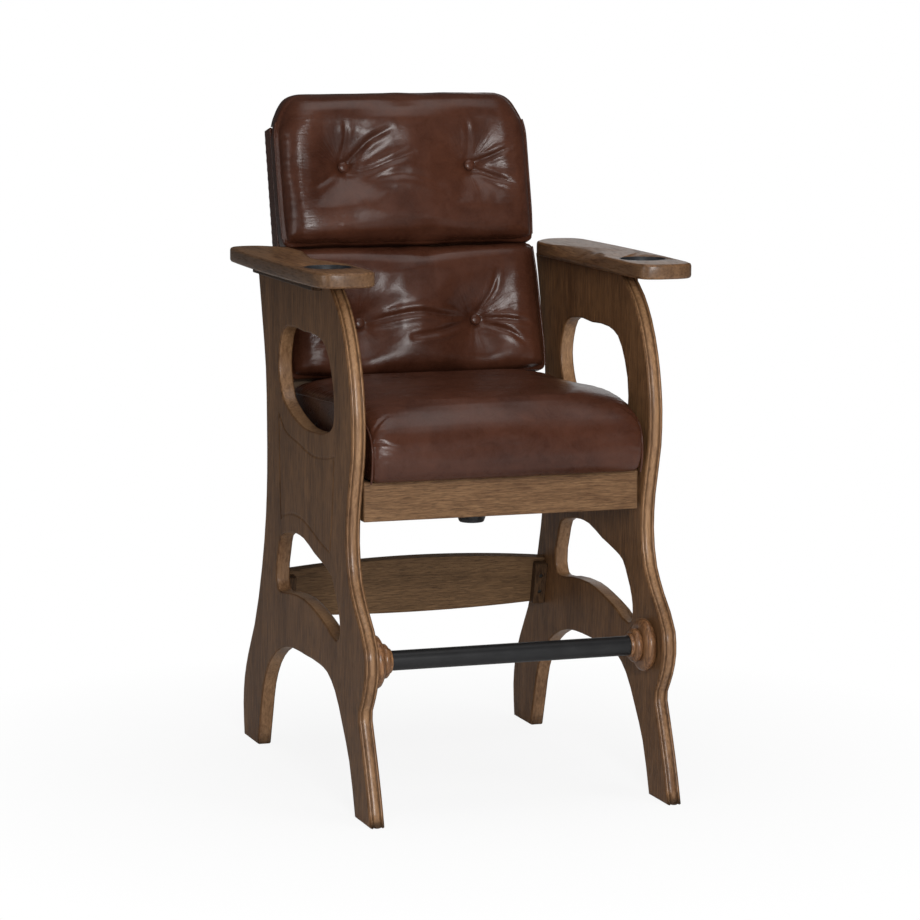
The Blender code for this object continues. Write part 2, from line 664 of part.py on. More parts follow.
def pad_section(crown, bottom, top, rows, roll_over):
    """Front and rear points (depth, rise) of one cross-section of a back pad, for a share of its full crown."""
    front = PIPING_PLANE + PAD_CROWN * crown
    bulge = PAD_EDGE_RADIUS + PAD_CROWN * crown
    end_roll = PAD_EDGE_RADIUS + (PAD_END_ROLL - PAD_EDGE_RADIUS) * crown
    fronts = [(front - bulge + bulge * s, bottom + end_roll - end_roll * c) for c, s in quarter(ROLL_STEPS, 0)]
    fronts += [(front, rise) for rise in rows[1:-1]]
    if roll_over:
        frame_top = BACK_HEIGHT + GAP
        summit = top + UPPER_PAD_ROLL_RISE * crown**UPPER_PAD_FULLNESS_SHARE
        height = summit - rows[-1]
        reach = front - PAD_REAR
        fronts += [(PAD_REAR + reach * c, rows[-1] + height * s) for c, s in quarter(ROLL_STEPS + 1, 0)]
        tail = (summit - frame_top) * UPPER_PAD_TAIL_SHARE
        wrap = PAD_REAR - GAP
        fronts += [(PAD_REAR + wrap * c, summit - tail + tail * s) for c, s in quarter(TAIL_STEPS, 90)[1:]]
        rears = [(PAD_REAR, rise) for _, rise in fronts[: len(fronts) - TAIL_STEPS - ROLL_STEPS - 1]]
        left = len(fronts) - len(rears)
        rears += [(PAD_REAR - (PAD_REAR - GAP) * k / (left - 1), frame_top) for k in range(left)]
        rears = [(depth, min(rise, frame_top)) for depth, rise in rears]
    else:
        fronts += [(front - bulge + bulge * c, top - end_roll + end_roll * s) for c, s in quarter(ROLL_STEPS, 0)]
        rears = [(PAD_REAR, rise) for _, rise in fronts]
    return fronts, rears


def pad(name, bottom, top, half_width, spread, buttons, roll_over, back):
    """A back pad: a crowned front with sewn tufts, rolled ends and sides that are drawn in to the frame."""
    button_x, button_rise = buttons
    seat = TUFT_FLAT / math.sqrt(2)
    rows = pad_rows(bottom + PAD_END_ROLL, top - PAD_END_ROLL / 2, button_rise)
    flat = half_width - PAD_SHOULDER
    stations = [0, (button_x - seat) / 3, 2 * (button_x - seat) / 3, button_x - seat, button_x + seat]
    stations += [(button_x + seat + flat) / 2, flat]
    crowns = [1 - DOME_SHARE * (x / half_width) ** 2 for x in stations]
    for c, s in quarter(ROLL_STEPS, 0)[::-1][1:]:
        stations.append(flat + PAD_SHOULDER * c)
        crowns.append((1 - DOME_SHARE * (flat / half_width) ** 2) * s)
    stations = [-x for x in stations[:0:-1]] + stations
    crowns = crowns[:0:-1] + crowns
    rings = []
    for x, crown in zip(stations, crowns):
        fronts, rears = pad_section(crown, bottom, top, rows, roll_over)
        ring = []
        for lists, is_front in ((fronts, True), (rears[::-1], False)):
            for depth, rise in lists:
                share = x / half_width
                foot = max(1 - (rise - bottom) / (top - bottom), 0)
                side = half_width + spread * foot - PAD_DRAW * (PIPING_PLANE - min(depth, PIPING_PLANE)) / PIPING_PLANE
                side -= corner_cut(min(rise - bottom, max(top - rise, 0)), PAD_CORNER)
                across = share * side
                if is_front:
                    away = math.hypot(abs(x) - button_x, rise - button_rise)
                    pull = math.exp(-((max(away - TUFT_FLAT, 0) / TUFT_SPREAD) ** 2))
                    if depth > TUFT_PLANE:
                        depth += (TUFT_PLANE - depth) * pull
                    if pull == 1:
                        across = x
                ring.append(Vector((across, -depth, rise)))
        rings.append(ring)
    return cushion(name, rings, back)


def cushion(name, rings, parent=None):
    """A closed skin over cross-sections whose two halves pair up, so that its ends close in strips."""
    bm = bmesh.new()
    made = [[bm.verts.new(point) for point in ring] for ring in rings]
    count = len(rings[0])
    for low, high in zip(made, made[1:]):
        for i in range(count):
            bm.faces.new((low[i - 1], low[i], high[i], high[i - 1]))
    for ring in (made[0], made[-1]):
        for i in range(count // 2 - 1):
            bm.faces.new((ring[i], ring[i + 1], ring[count - 2 - i], ring[count - 1 - i]))
    bmesh.ops.remove_doubles(bm, verts=bm.verts, dist=GAP / 10)
    return add_object(name, bm, LEATHER, parent=parent)


def seat_cushion():
    """The seat: its side profile rises over a rolled front, and its middle is crowned."""
    front = SEAT_REAR - SEAT_DEPTH
    base = RAIL_TOP + GAP
    edge = smooth(scaled(SEAT_EDGE_SHARES, SEAT_DEPTH, SEAT_HEIGHT))
    middle = smooth(scaled(SEAT_MIDDLE_SHARES, SEAT_DEPTH, SEAT_HEIGHT))
    flat = SEAT_HALF_WIDTH - SEAT_SHOULDER
    stations = [flat * share for share in SEAT_STATION_SHARES]
    crowns = [1 - DOME_SHARE * (x / flat) ** 2 for x in stations]
    for c, s in quarter(ROLL_STEPS, 0)[::-1][1:]:
        stations.append(flat + SEAT_SHOULDER * c)
        crowns.append((1 - DOME_SHARE) * s)
    stations = [-x for x in stations[:0:-1]] + stations
    crowns = crowns[:0:-1] + crowns
    rings = []
    for x, crown in zip(stations, crowns):
        upper = [e.lerp(m, crown) for e, m in zip(edge, middle)]
        spans = len(upper) - 1
        lower = [edge[0].lerp(Vector((SEAT_DEPTH, 0)), k / spans) for k in range(spans + 1)]
        ring = []
        for p in upper + lower[::-1]:
            draw = SEAT_DRAW * max(1 - p.y / (SEAT_HEIGHT * SEAT_FRONT_HEIGHT_SHARE), 0)
            side = SEAT_HALF_WIDTH - draw
            ring.append(Vector((x / SEAT_HALF_WIDTH * side, front + p.x, base + p.y)))
        rings.append(ring)
    return cushion("seat_cushion", rings)


def tuft_button(name, x, rise, back):
    profile = [(0, 0), (BUTTON_RADIUS, 0)]
    rim = BUTTON_HEIGHT * BUTTON_RIM_SHARE
    profile += [(BUTTON_RADIUS * c, rim + (BUTTON_HEIGHT - rim) * s) for c, s in quarter(3, 0)[:-1]]
    profile += [(0, BUTTON_HEIGHT)]
    return turned(
        name,
        profile,
        BUTTON_STEPS,
        LEATHER,
        axis=(0, -1, 0),
        location=(x, -TUFT_PLANE - GAP, rise),
        parent=back,
    )


def rosette(side, name):
    """The turned wood ring that holds an end of the footrail: a wide bead, a narrow bead and a collar."""
    base = BASE_BEAD_RADIUS - BASE_BEAD_RISE
    half_base = BASE_BEAD_LENGTH / 2
    profile = [(0, 0)]
    arc = [math.radians(180 * k / (2 * ROLL_STEPS)) for k in range(2 * ROLL_STEPS + 1)]
    profile += [(base + BASE_BEAD_RISE * math.sin(t), half_base * (1 - math.cos(t))) for t in arc]
    neck = TOP_BEAD_RADIUS - TOP_BEAD_RISE
    half_top = TOP_BEAD_LENGTH / 2
    profile += [
        (neck + TOP_BEAD_RISE * math.sin(t), BASE_BEAD_LENGTH + half_top * (1 - math.cos(t))) for t in arc
    ]
    socket = FOOTRAIL_RADIUS + GAP
    profile += [
        (COLLAR_RADIUS, BASE_BEAD_LENGTH + TOP_BEAD_LENGTH),
        (COLLAR_RADIUS, ROSETTE_LENGTH),
        (socket, ROSETTE_LENGTH),
        (socket, ROSETTE_LENGTH - ROSETTE_SOCKET),
        (0, ROSETTE_LENGTH - ROSETTE_SOCKET),
    ]
    return turned(
        name,
        profile,
        ROUND_STEPS,
        WALNUT,
        axis=(-side, 0, 0),
        location=(side * (INNER_X - GAP), -FOOTRAIL_FORWARD, FOOTRAIL_HEIGHT),
    )


def foot_rail():
    half = INNER_X - GAP - ROSETTE_LENGTH + ROSETTE_SOCKET - GAP
    bore = FOOTRAIL_RADIUS - FOOTRAIL_WALL
    profile = [(bore, -half), (FOOTRAIL_RADIUS, -half), (FOOTRAIL_RADIUS, half), (bore, half)]
    return turned(
        "foot_rail_tube",
        profile,
        ROUND_STEPS,
        BLACK_METAL,
        axis=(1, 0, 0),
        location=(0, -FOOTRAIL_FORWARD, FOOTRAIL_HEIGHT),
    )


def rear_stretcher(frame):
    """A board with arched edges between the panels; its front face is the plane of its leaning frame."""
    half = INNER_X - GAP
    steps = 3 * ROLL_STEPS
    across = [half * k / steps for k in range(-steps, steps + 1)]
    bottom = [Vector((x, -STRETCHER_BOTTOM_RISE * (x / half) ** 2)) for x in across]
    top = [Vector((x, STRETCHER_HEIGHT - STRETCHER_TOP_RISE * (x / half) ** 2)) for x in across]
    return plate(
        "rear_stretcher",
        [bottom + top[::-1]],
        STRETCHER_THICKNESS,
        EDGE_BREAK,
        ((1, 0, 0), (0, 0, 1), (0, 1, 0)),
        WALNUT,
        parent=frame,
    )


def stretcher_cleat(side, name, frame):
    outer, inner = side * (INNER_X - GAP), side * (INNER_X - GAP - CLEAT_WIDTH)
    return block(
        name,
        (min(inner, outer), -GAP - CLEAT_THICKNESS, CLEAT_RISE),
        (max(inner, outer), -GAP, CLEAT_RISE + CLEAT_HEIGHT),
        WALNUT,
        parent=frame,
    )


def build():
    clear_scene()
    sides = ((-1, "left"), (1, "right"))
    panels = {side: side_panel(side, "side_panel_" + word) for side, word in sides}
    rails = {side: side_rail(side, "side_rail_" + word) for side, word in sides}
    front_rail()
    rear_rail()
    seat_deck()
    seat_brace()
    under_seat_cap()
    seat_cushion()
    foot_rail()
    rail_middle = (SIDE_RAIL_TOP + SIDE_RAIL_BOTTOM) / 2
    rear_face = back_front_face(SIDE_RAIL_BOTTOM) - GAP - REAR_RAIL_THICKNESS
    for side, word in sides:
        board = arm(side, "arm_" + word)
        cleat = arm_cleat(side, "arm_cleat_" + word)
        cup_insert(side, "cup_insert_" + word)
        corner_block(side, 1, RAIL_REAR_FACE, f"corner_block_front_{word}")
        corner_block(side, -1, rear_face, f"corner_block_rear_{word}")
        cleat_x = side * (OUTER_X + GAP + ARM_CLEAT_THICKNESS / 2)
        for end, place in ((-1, "front"), (1, "rear")):
            under = (cleat_x, ARM_CLEAT_BACKWARD + end * ARM_SCREW_HALF_SPACING, PANEL_HEIGHT - ARM_CLEAT_HEIGHT)
            screw(f"arm_screw_{word}_{place}", under, (0, 0, 1), ARM_SCREW, (cleat, board))
            inside = (side * SIDE_RAIL_INNER, -RAIL_BOLT_FORWARD + end * RAIL_BOLT_HALF_SPACING, rail_middle)
            screw(f"rail_bolt_{word}_{place}", inside, (side, 0, 0), RAIL_BOLT, (rails[side], panels[side]))
        ring = rosette(side, "rosette_" + word)
        floor_x = side * (INNER_X - GAP - ROSETTE_LENGTH + ROSETTE_SOCKET)
        floor = (floor_x, -FOOTRAIL_FORWARD, FOOTRAIL_HEIGHT)
        screw("rosette_screw_" + word, floor, (side, 0, 0), ROSETTE_SCREW, (ring, panels[side]))

    back = leaning_frame("back_lean", BACK_FOOT_BACKWARD, BACK_FOOT_HEIGHT, RECLINE)
    wood = (FRAME_REAR, FRAME_FRONT)
    for side, word in sides:
        xs = sorted((side * STILE_INNER, side * STILE_OUTER))
        stile = back_block("back_stile_" + word, xs, wood, (0, BACK_HEIGHT), HIDDEN_WOOD, back)
        xs = sorted((side * (STILE_OUTER + GAP), side * (STILE_OUTER + GAP + BAND_THICKNESS)))
        back_block("back_side_band_" + word, xs, wood, (BAND_FOOT, BACK_HEIGHT), LEATHER, back)
        point = (side * STILE_INNER, -BACK_BOLT_DEPTH, BACK_BOLT_RISE)
        held = (stile, rails[side], panels[side])
        screw("back_bolt_" + word, point, (side, 0, 0), BACK_BOLT, held, parent=back)
    reach = (-STILE_INNER + GAP, STILE_INNER - GAP)
    middle = LOWER_PAD_TOP - BACK_RAIL_HEIGHT / 2
    for word, rise in (("bottom", 0), ("middle", middle), ("top", BACK_HEIGHT - BACK_RAIL_HEIGHT)):
        back_block(f"back_{word}_rail", reach, wood, (rise, rise + BACK_RAIL_HEIGHT), HIDDEN_WOOD, back)
    edge = STILE_OUTER + GAP + BAND_THICKNESS
    back_block("outside_back_panel", (-edge, edge), (0, BACK_PANEL_THICKNESS), (0, BACK_HEIGHT), LEATHER, back)
    lower = (LOWER_BUTTON_HALF_SPACING, LOWER_BUTTON_RISE)
    upper = (UPPER_BUTTON_HALF_SPACING, UPPER_BUTTON_RISE)
    pad(
        "lower_back_cushion",
        LOWER_PAD_BOTTOM,
        LOWER_PAD_TOP,
        LOWER_PAD_HALF_WIDTH,
        LOWER_PAD_SPREAD,
        lower,
        False,
        back,
    )
    pad("upper_back_cushion", UPPER_PAD_BOTTOM, UPPER_PAD_TOP_EDGE, UPPER_PAD_HALF_WIDTH, 0, upper, True, back)
    for side, word in sides:
        tuft_button("tuft_button_upper_" + word, side * upper[0], upper[1], back)
        tuft_button("tuft_button_lower_" + word, side * lower[0], lower[1], back)

    lean = leaning_frame("stretcher_lean", STRETCHER_BACKWARD, STRETCHER_FOOT_HEIGHT, -STRETCHER_LEAN)
    board = rear_stretcher(lean)
    for side, word in sides:
        cleat = stretcher_cleat(side, "stretcher_cleat_" + word, lean)
        for end, place in ((-1, "lower"), (1, "upper")):
            rise = CLEAT_RISE + CLEAT_HEIGHT / 2 + end * CLEAT_SCREW_HALF_SPACING
            face = (side * (INNER_X - GAP - CLEAT_WIDTH / 2), -GAP - CLEAT_THICKNESS, rise)
            screw(f"cleat_screw_{word}_{place}", face, (0, 1, 0), CLEAT_SCREW, (cleat, board), parent=lean)


build()
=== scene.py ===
"""Spectator bar stool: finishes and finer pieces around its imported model.

Units are metres, Z is up and the sitter faces -Y. Each operator makes one piece or one group of like pieces.
"""

import json
import math

import bmesh
import bpy
import numpy as np
from bpy.props import FloatProperty, FloatVectorProperty, IntProperty
from mathutils import Matrix, Vector


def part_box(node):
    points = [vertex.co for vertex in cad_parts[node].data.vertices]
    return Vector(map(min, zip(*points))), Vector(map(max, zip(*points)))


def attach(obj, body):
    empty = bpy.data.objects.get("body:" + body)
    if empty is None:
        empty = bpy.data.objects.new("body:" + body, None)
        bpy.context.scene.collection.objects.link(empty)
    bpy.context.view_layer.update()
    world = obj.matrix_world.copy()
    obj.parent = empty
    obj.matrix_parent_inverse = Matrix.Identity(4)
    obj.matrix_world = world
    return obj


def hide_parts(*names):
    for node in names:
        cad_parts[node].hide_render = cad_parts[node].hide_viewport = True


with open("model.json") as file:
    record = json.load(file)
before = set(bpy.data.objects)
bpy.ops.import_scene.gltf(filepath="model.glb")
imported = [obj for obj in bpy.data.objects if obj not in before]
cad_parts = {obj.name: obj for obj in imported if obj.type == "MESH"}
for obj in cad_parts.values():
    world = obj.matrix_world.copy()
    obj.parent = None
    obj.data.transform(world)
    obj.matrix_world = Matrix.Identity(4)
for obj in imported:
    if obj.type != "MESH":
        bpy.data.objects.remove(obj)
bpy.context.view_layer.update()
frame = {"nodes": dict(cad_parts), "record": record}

bl_info = {
    "name": "Spectator bar stool",
    "version": (1, 0, 0),
    "blender": (4, 5, 0),
    "location": "View3D > Sidebar > Bar stool",
    "description": "Wood, leather and metal finishes for a spectator bar stool",
    "category": "Object",
}

BODY = "frame"
MERGE = 0.00002
SIDES = ((-1, "left"), (1, "right"))

# The back leans: its own frame has Z up the recline and -Y out towards the sitter
RECLINE = math.radians(13.5)
BACK_ORIGIN = (0, 0.2531, 0.545)
BACK_TURN = np.array(Matrix.Rotation(-RECLINE, 3, "X"))

# Camera
LENS = 141.77
CAMERA_SHIFT = (0.00272, 0.00279)
CAMERA_TARGET = Vector((0.005167, -0.0033, 0.599994))
CAMERA_DISTANCE = 6.96697
CAMERA_TURN = -0.33487
CAMERA_RISE = 0.143444
CAMERA_ROLL = 0.0039109

# Side panels: the routed line on the outer face, corner to corner, as (y, z)
ROUTED_ARCS = (
    ((0.157, 0.687), (0.111, 0.660), (0.039, 0.649), (-0.061, 0.636), (-0.139, 0.641), (-0.202, 0.652)),
    ((-0.202, 0.652), (-0.193, 0.560), (-0.176, 0.469)),
    (
        (-0.176, 0.469), (-0.109, 0.480), (-0.051, 0.495), (0.008, 0.505), (0.067, 0.505), (0.127, 0.494),
        (0.145, 0.485),
    ),
    ((0.145, 0.485), (0.152, 0.580), (0.157, 0.687)),
)
ROUTER_STANDOFF = 0.0043
REED_LINE = 0.0072
REED_CUTS = 27
REED_START = -0.12

# How the leather is drawn in. Slack is the share that a cover is larger than its pad
PAD_SLACK_SHARE = 0.012
SEAT_SLACK_SHARE = 0.006
SEAT_MESH_SHARE = 1.08
SEAM_WIDTH = 0.008
BUTTON_GRIP = 0.012
CORNER_DROP = 0.030
CORNER_REACH = 0.060
PLEAT_COUNT = 11
PLEAT_REACH = 0.050
PLEAT_HEIGHT = 0.0007
BUTTON_SINK = 0.0060
BUTTON_SEAT = 0.013
SEAM_GATHERS = 0.0002
SIDE_FALL = 0.0060
SIDE_FALL_REACH = 0.090
FOOT_FALL = 0.0025
FOOT_FALL_REACH = 0.075
BOXING_WAVES = 0.00015
SEAT_GATHERS = 0.0003
BORDER_SEAM = 0.012
BORDER_SEAM_WIDTH = 0.0022
BORDER_SEAM_DEPTH = 0.0012
COVER_MESH = 0.0042
BAND_BREAK = 0.0008

# Back pads, in the back's frame: depths from the rear face, the left and right buttons as (x, rise), from
# where to where the side piping rises, and creases, each with its path as (x, rise), its width and its depth
PIPING_DEPTH = 0.0820
PIPING_SINK = 0.0006
FRAME_DEPTH = 0.0456
TUFT_DEPTH = 0.0997
TUFT_SINK = 0.0045
TUFT_REACH = 0.040
UPPER_BUTTON = (0.1315, 0.5997)
LOWER_BUTTON = (0.1205, 0.2900)
UPPER_PIPING = (0.462, 0.694)
LOWER_PIPING = (0.196, 0.436)
UPPER_CREASES = (
    (((-0.124, 0.603), (-0.100, 0.631), (-0.076, 0.652), (-0.038, 0.671)), 0.0060, 0.0040),
    (((-0.136, 0.614), (-0.128, 0.649), (-0.129, 0.685)), 0.0045, 0.0022),
    (((-0.062, 0.577), (-0.022, 0.579), (0.012, 0.575), (0.052, 0.560)), 0.0080, 0.0026),
    (((-0.120, 0.585), (-0.080, 0.592), (-0.043, 0.605), (0.007, 0.622)), 0.0060, 0.0032),
    (((0.140, 0.604), (0.175, 0.616), (0.214, 0.631)), 0.0045, 0.0045),
    (((0.141, 0.591), (0.176, 0.576), (0.216, 0.558)), 0.0045, 0.0040),
    (((0.128, 0.612), (0.130, 0.650), (0.124, 0.684)), 0.0045, 0.0026),
    (((-0.145, 0.590), (-0.175, 0.572), (-0.200, 0.560)), 0.0050, 0.0022),
)
LOWER_CREASES = (
    (((-0.105, 0.290), (-0.054, 0.300), (-0.002, 0.305), (0.050, 0.297), (0.109, 0.292)), 0.0055, 0.0048),
    (((-0.020, 0.257), (0.040, 0.266), (0.093, 0.282), (0.112, 0.286)), 0.0055, 0.0040),
    (((0.136, 0.291), (0.175, 0.289), (0.228, 0.279)), 0.0042, 0.0045),
    (((0.134, 0.284), (0.186, 0.261), (0.214, 0.238)), 0.0045, 0.0040),
    (((0.127, 0.302), (0.155, 0.348), (0.165, 0.383)), 0.0048, 0.0028),
    (((-0.128, 0.302), (-0.150, 0.340), (-0.160, 0.375)), 0.0048, 0.0026),
    (((-0.135, 0.282), (-0.180, 0.262), (-0.215, 0.245)), 0.0048, 0.0032),
)

# Seat: level of its base, the side line of its sewing as (y, z), and its corner pleats, each with its path
# as (x, y, z), its width and its depth
SEAT_BASE = 0.6123
SEAT_SEAM = (
    (-0.2990, 0.6125), (-0.3055, 0.6311), (-0.3077, 0.6550), (-0.3061, 0.6770), (-0.2941, 0.6982),
    (-0.2697, 0.7140), (-0.2278, 0.7269), (-0.1582, 0.7392), (-0.0212, 0.7320), (0.0967, 0.7280),
    (0.1968, 0.7220),
)
SEAT_PLEATS = (
    (((-0.264, -0.306, 0.690), (-0.237, -0.320, 0.688), (-0.202, -0.326, 0.676)), 0.0034, 0.0020),
    (((-0.264, -0.300, 0.702), (-0.248, -0.290, 0.722), (-0.224, -0.276, 0.738)), 0.0034, 0.0018),
    (((-0.264, -0.304, 0.672), (-0.242, -0.316, 0.660), (-0.224, -0.322, 0.648)), 0.0032, 0.0010),
    (((0.264, -0.304, 0.692), (0.238, -0.316, 0.694), (0.212, -0.324, 0.683)), 0.0034, 0.0020),
    (((0.264, -0.297, 0.704), (0.246, -0.284, 0.724), (0.228, -0.268, 0.736)), 0.0034, 0.0016),
)

# Rings at the footrail's ends: (distance from the panel, radius)
RING_PROFILE = (
    (0.0000, 0.0392), (0.0012, 0.0434), (0.0040, 0.0477), (0.0078, 0.0497), (0.0106, 0.0500),
    (0.0134, 0.0497), (0.0172, 0.0477), (0.0200, 0.0434), (0.0212, 0.0395), (0.0212, 0.0262),
    (0.0222, 0.0292), (0.0246, 0.0316), (0.0285, 0.0325), (0.0324, 0.0316), (0.0348, 0.0292),
    (0.0358, 0.0262), (0.0360, 0.0232), (0.0405, 0.0232), (0.0413, 0.0224), (0.0413, 0.0190),
    (0.0263, 0.0190),
)
RING_BORE = 0.0035
TUBE_WALL = 0.0018
TUBE_BREAK = 0.0006

# Buttons: (radius, height)
BUTTON_PROFILE = (
    (0, 0.0002), (0.0098, 0.0002), (0.0108, 0.0012), (0.0108, 0.0022), (0.0098, 0.0038),
    (0.0075, 0.0052), (0.0042, 0.0060), (0, 0.0062),
)

# Lamps: name, power in the stage's settings, size, place, and whether matt and glossy surfaces see it
LAMPS = (
    ("front", "key", 1.1, (-0.75, -4.25, 1.78), True, True),
    ("overhead", "top", 2.2, (0.0, -0.4, 3.4), True, True),
    ("right", "side", 1.6, (2.6, -3.0, 2.2), True, False),
    ("left_sheen", "sheen", 1.4, (-3.6, -0.9, 1.4), False, True),
    ("rear_sheen", "rear_sheen", 1.6, (2.9, 5.8, 1.95), False, True),
)
LAMP_AIM = Vector((0, 0, 0.75))
PAPER_GLOW = 0.88
PAPER_FADE = (0.35, 1.2)


def tone(name, description, *colour):
    return FloatVectorProperty(
        name=name, description=description, subtype="COLOR", size=4, default=(*colour, 1), min=0, max=1
    )


def metres(name, description, default):
    return FloatProperty(name=name, description=description, default=default, unit="LENGTH")


def number(name, description, default):
    return FloatProperty(name=name, description=description, default=default)


class StoolFinishes(bpy.types.PropertyGroup):
    """Colours of the stool's finishes."""

    walnut_dark: tone("Stained wood, dark", "Darkest grain of the panels and arms", 0.086, 0.038, 0.014)
    walnut_light: tone("Stained wood, light", "Lightest grain of the panels and arms", 0.248, 0.124, 0.053)
    edge_dark: tone("Panel edges, dark", "Darkest grain of the panels' edges", 0.115, 0.052, 0.021)
    edge_light: tone("Panel edges, light", "Lightest grain of the panels' edges", 0.380, 0.216, 0.106)
    # Painted shade: the arms' edge tones are darker than their faces to stand in for the shade along the
    # arms' sides
    arm_edge_painted_shade_dark: tone("Arm edges, dark", "Darkest grain of the arms' edges", 0.055, 0.024, 0.009)
    arm_edge_painted_shade_light: tone("Arm edges, light", "Lightest grain of the arms' edges", 0.190, 0.102, 0.048)
    rail_dark: tone("Rail, dark", "Darkest grain of the front rail", 0.098, 0.047, 0.020)
    rail_light: tone("Rail, light", "Lightest grain of the front rail", 0.240, 0.134, 0.064)
    stretcher_dark: tone("Stretcher, dark", "Darkest grain of the rear stretcher", 0.078, 0.042, 0.019)
    stretcher_light: tone("Stretcher, light", "Lightest grain of the rear stretcher", 0.180, 0.102, 0.049)
    ring_dark: tone("Rings, dark", "Darkest grain of the footrail's rings", 0.085, 0.032, 0.012)
    ring_light: tone("Rings, light", "Lightest grain of the footrail's rings", 0.330, 0.162, 0.068)
    # Painted shade: the cleats' tones are the stained wood darkened to stand in for the shade under the arms
    # and the seat
    cleat_painted_shade_dark: tone("Cleats, dark", "Darkest grain of the cleats", 0.030, 0.014, 0.006)
    cleat_painted_shade_light: tone("Cleats, light", "Lightest grain of the cleats", 0.100, 0.053, 0.024)
    hidden_dark: tone("Hidden wood, dark", "Darkest grain of the frame inside", 0.060, 0.034, 0.018)
    hidden_light: tone("Hidden wood, light", "Lightest grain of the frame inside", 0.140, 0.088, 0.050)
    leather_dark: tone("Leather, dark", "Darkest tone of the leather", 0.041, 0.0128, 0.0066)
    leather_light: tone("Leather, light", "Lightest tone of the leather", 0.089, 0.0305, 0.0162)
    rail_black: tone("Footrail", "Black of the footrail's tube", 0.022, 0.022, 0.023)
    plastic_black: tone("Plastic", "Black of the cup liners and the cap", 0.012, 0.013, 0.015)
    steel_dark: tone("Fasteners, dark", "Darkest tone of the screws and bolts", 0.035, 0.033, 0.031)
    steel_light: tone("Fasteners, light", "Lightest tone of the screws and bolts", 0.095, 0.088, 0.080)


class StoolShapes(bpy.types.PropertyGroup):
    """Sizes of the finer shapes."""

    reed_depth: metres("Reed depth", "Depth of the lines between the reeds on a panel's front edge", 0.0030)
    routed_radius: metres("Routed line", "Radius of the cutter that draws the line on a panel", 0.0060)
    piping_radius: metres("Piping radius", "Radius of the piping in the seams", 0.0021)
    pad_mesh: metres("Pad mesh", "Mesh size of a padded piece before its last division", 0.0055)
    pad_swell: metres("Pad swell", "Furthest that the filling moves the leather", 0.0080)
    pressure: number("Filling pressure", "Pressure of the filling", 4.0)
    fill_steps: IntProperty(name="Filling steps", description="Frames over which the pads swell", default=20)


class StoolStage(bpy.types.PropertyGroup):
    """Floor, lamps and sky."""

    floor_size: metres("Floor", "Half width of the floor", 9.0)
    sky: number("Sky", "Level of the even light", 0.26)
    sky_gloss: number("Sky in reflections", "Level that glossy pieces show", 0.06)
    key: number("Main lamp", "Power of the lamp in front", 130)
    top: number("Top lamp", "Power of the lamp overhead", 28)
    side: number("Side lamp", "Power of the lamp at the right", 28)
    sheen: number("Left sheen", "Power of the lamp that reflections at the left show", 26)
    rear_sheen: number("Rear sheen", "Power of the lamp behind that reflections show", 9)


# Materials

# Grain of the wood: stretch along the board, and marks to the metre
FIGURE = (0.14, 16)
STREAK = (0.07, 210)
STROKES = (0.10, 330)
PORES = (0.035, 1100)
DEEP_WOOD = 0.32
FINE_GRAIN = 1.7
EDGE_COAT = 0.5
COAT_ROUGHNESS = 0.28
WOOD_SPECULAR = 0.20

# Leather: marks to the metre
CLOUDS = 8
DRIFTS = 34
WEAR_LINES = 75
GRAIN_CELLS = 820
PEBBLES = 520
DEEP_LEATHER = 0.5
LEATHER_SPECULAR = 0.31


class Value:
    """A node's output in a Python expression: each step adds a Math node."""

    def __init__(self, nodes, socket):
        self.nodes, self.socket = nodes, socket

    def math(self, operation, *values, clamp=False):
        return self.nodes.node("ShaderNodeMath", {"operation": operation, "use_clamp": clamp}, values)

    def __add__(self, other):
        return self.math("ADD", self, other)

    def __sub__(self, other):
        return self.math("SUBTRACT", self, other)

    def __rsub__(self, other):
        return self.math("SUBTRACT", other, self)

    def __mul__(self, other):
        return self.math("MULTIPLY", self, other)

    def __truediv__(self, other):
        return self.math("DIVIDE", self, other)

    def __abs__(self):
        return self.math("ABSOLUTE", self)

    __radd__ = __add__
    __rmul__ = __mul__

    def span(self, low, high):
        """0 at low, 1 at high, and level outside."""
        return self.math("DIVIDE", self - low, high - low, clamp=True)


class Nodes:
    """The nodes of a material or a world."""

    def __init__(self, owner):
        owner.use_nodes = True
        self.tree = owner.node_tree

    def node(self, kind, settings=None, values=(), output=0):
        made = self.tree.nodes.new(kind)
        for key, value in (settings or {}).items():
            setattr(made, key, value)
        for key, value in values.items() if isinstance(values, dict) else enumerate(values):
            self.feed(made.inputs[key], value)
        return Value(self, made.outputs[output] if made.outputs else None)

    def feed(self, socket, value):
        if isinstance(value, Value):
            self.tree.links.new(value.socket, socket)
        else:
            socket.default_value = value


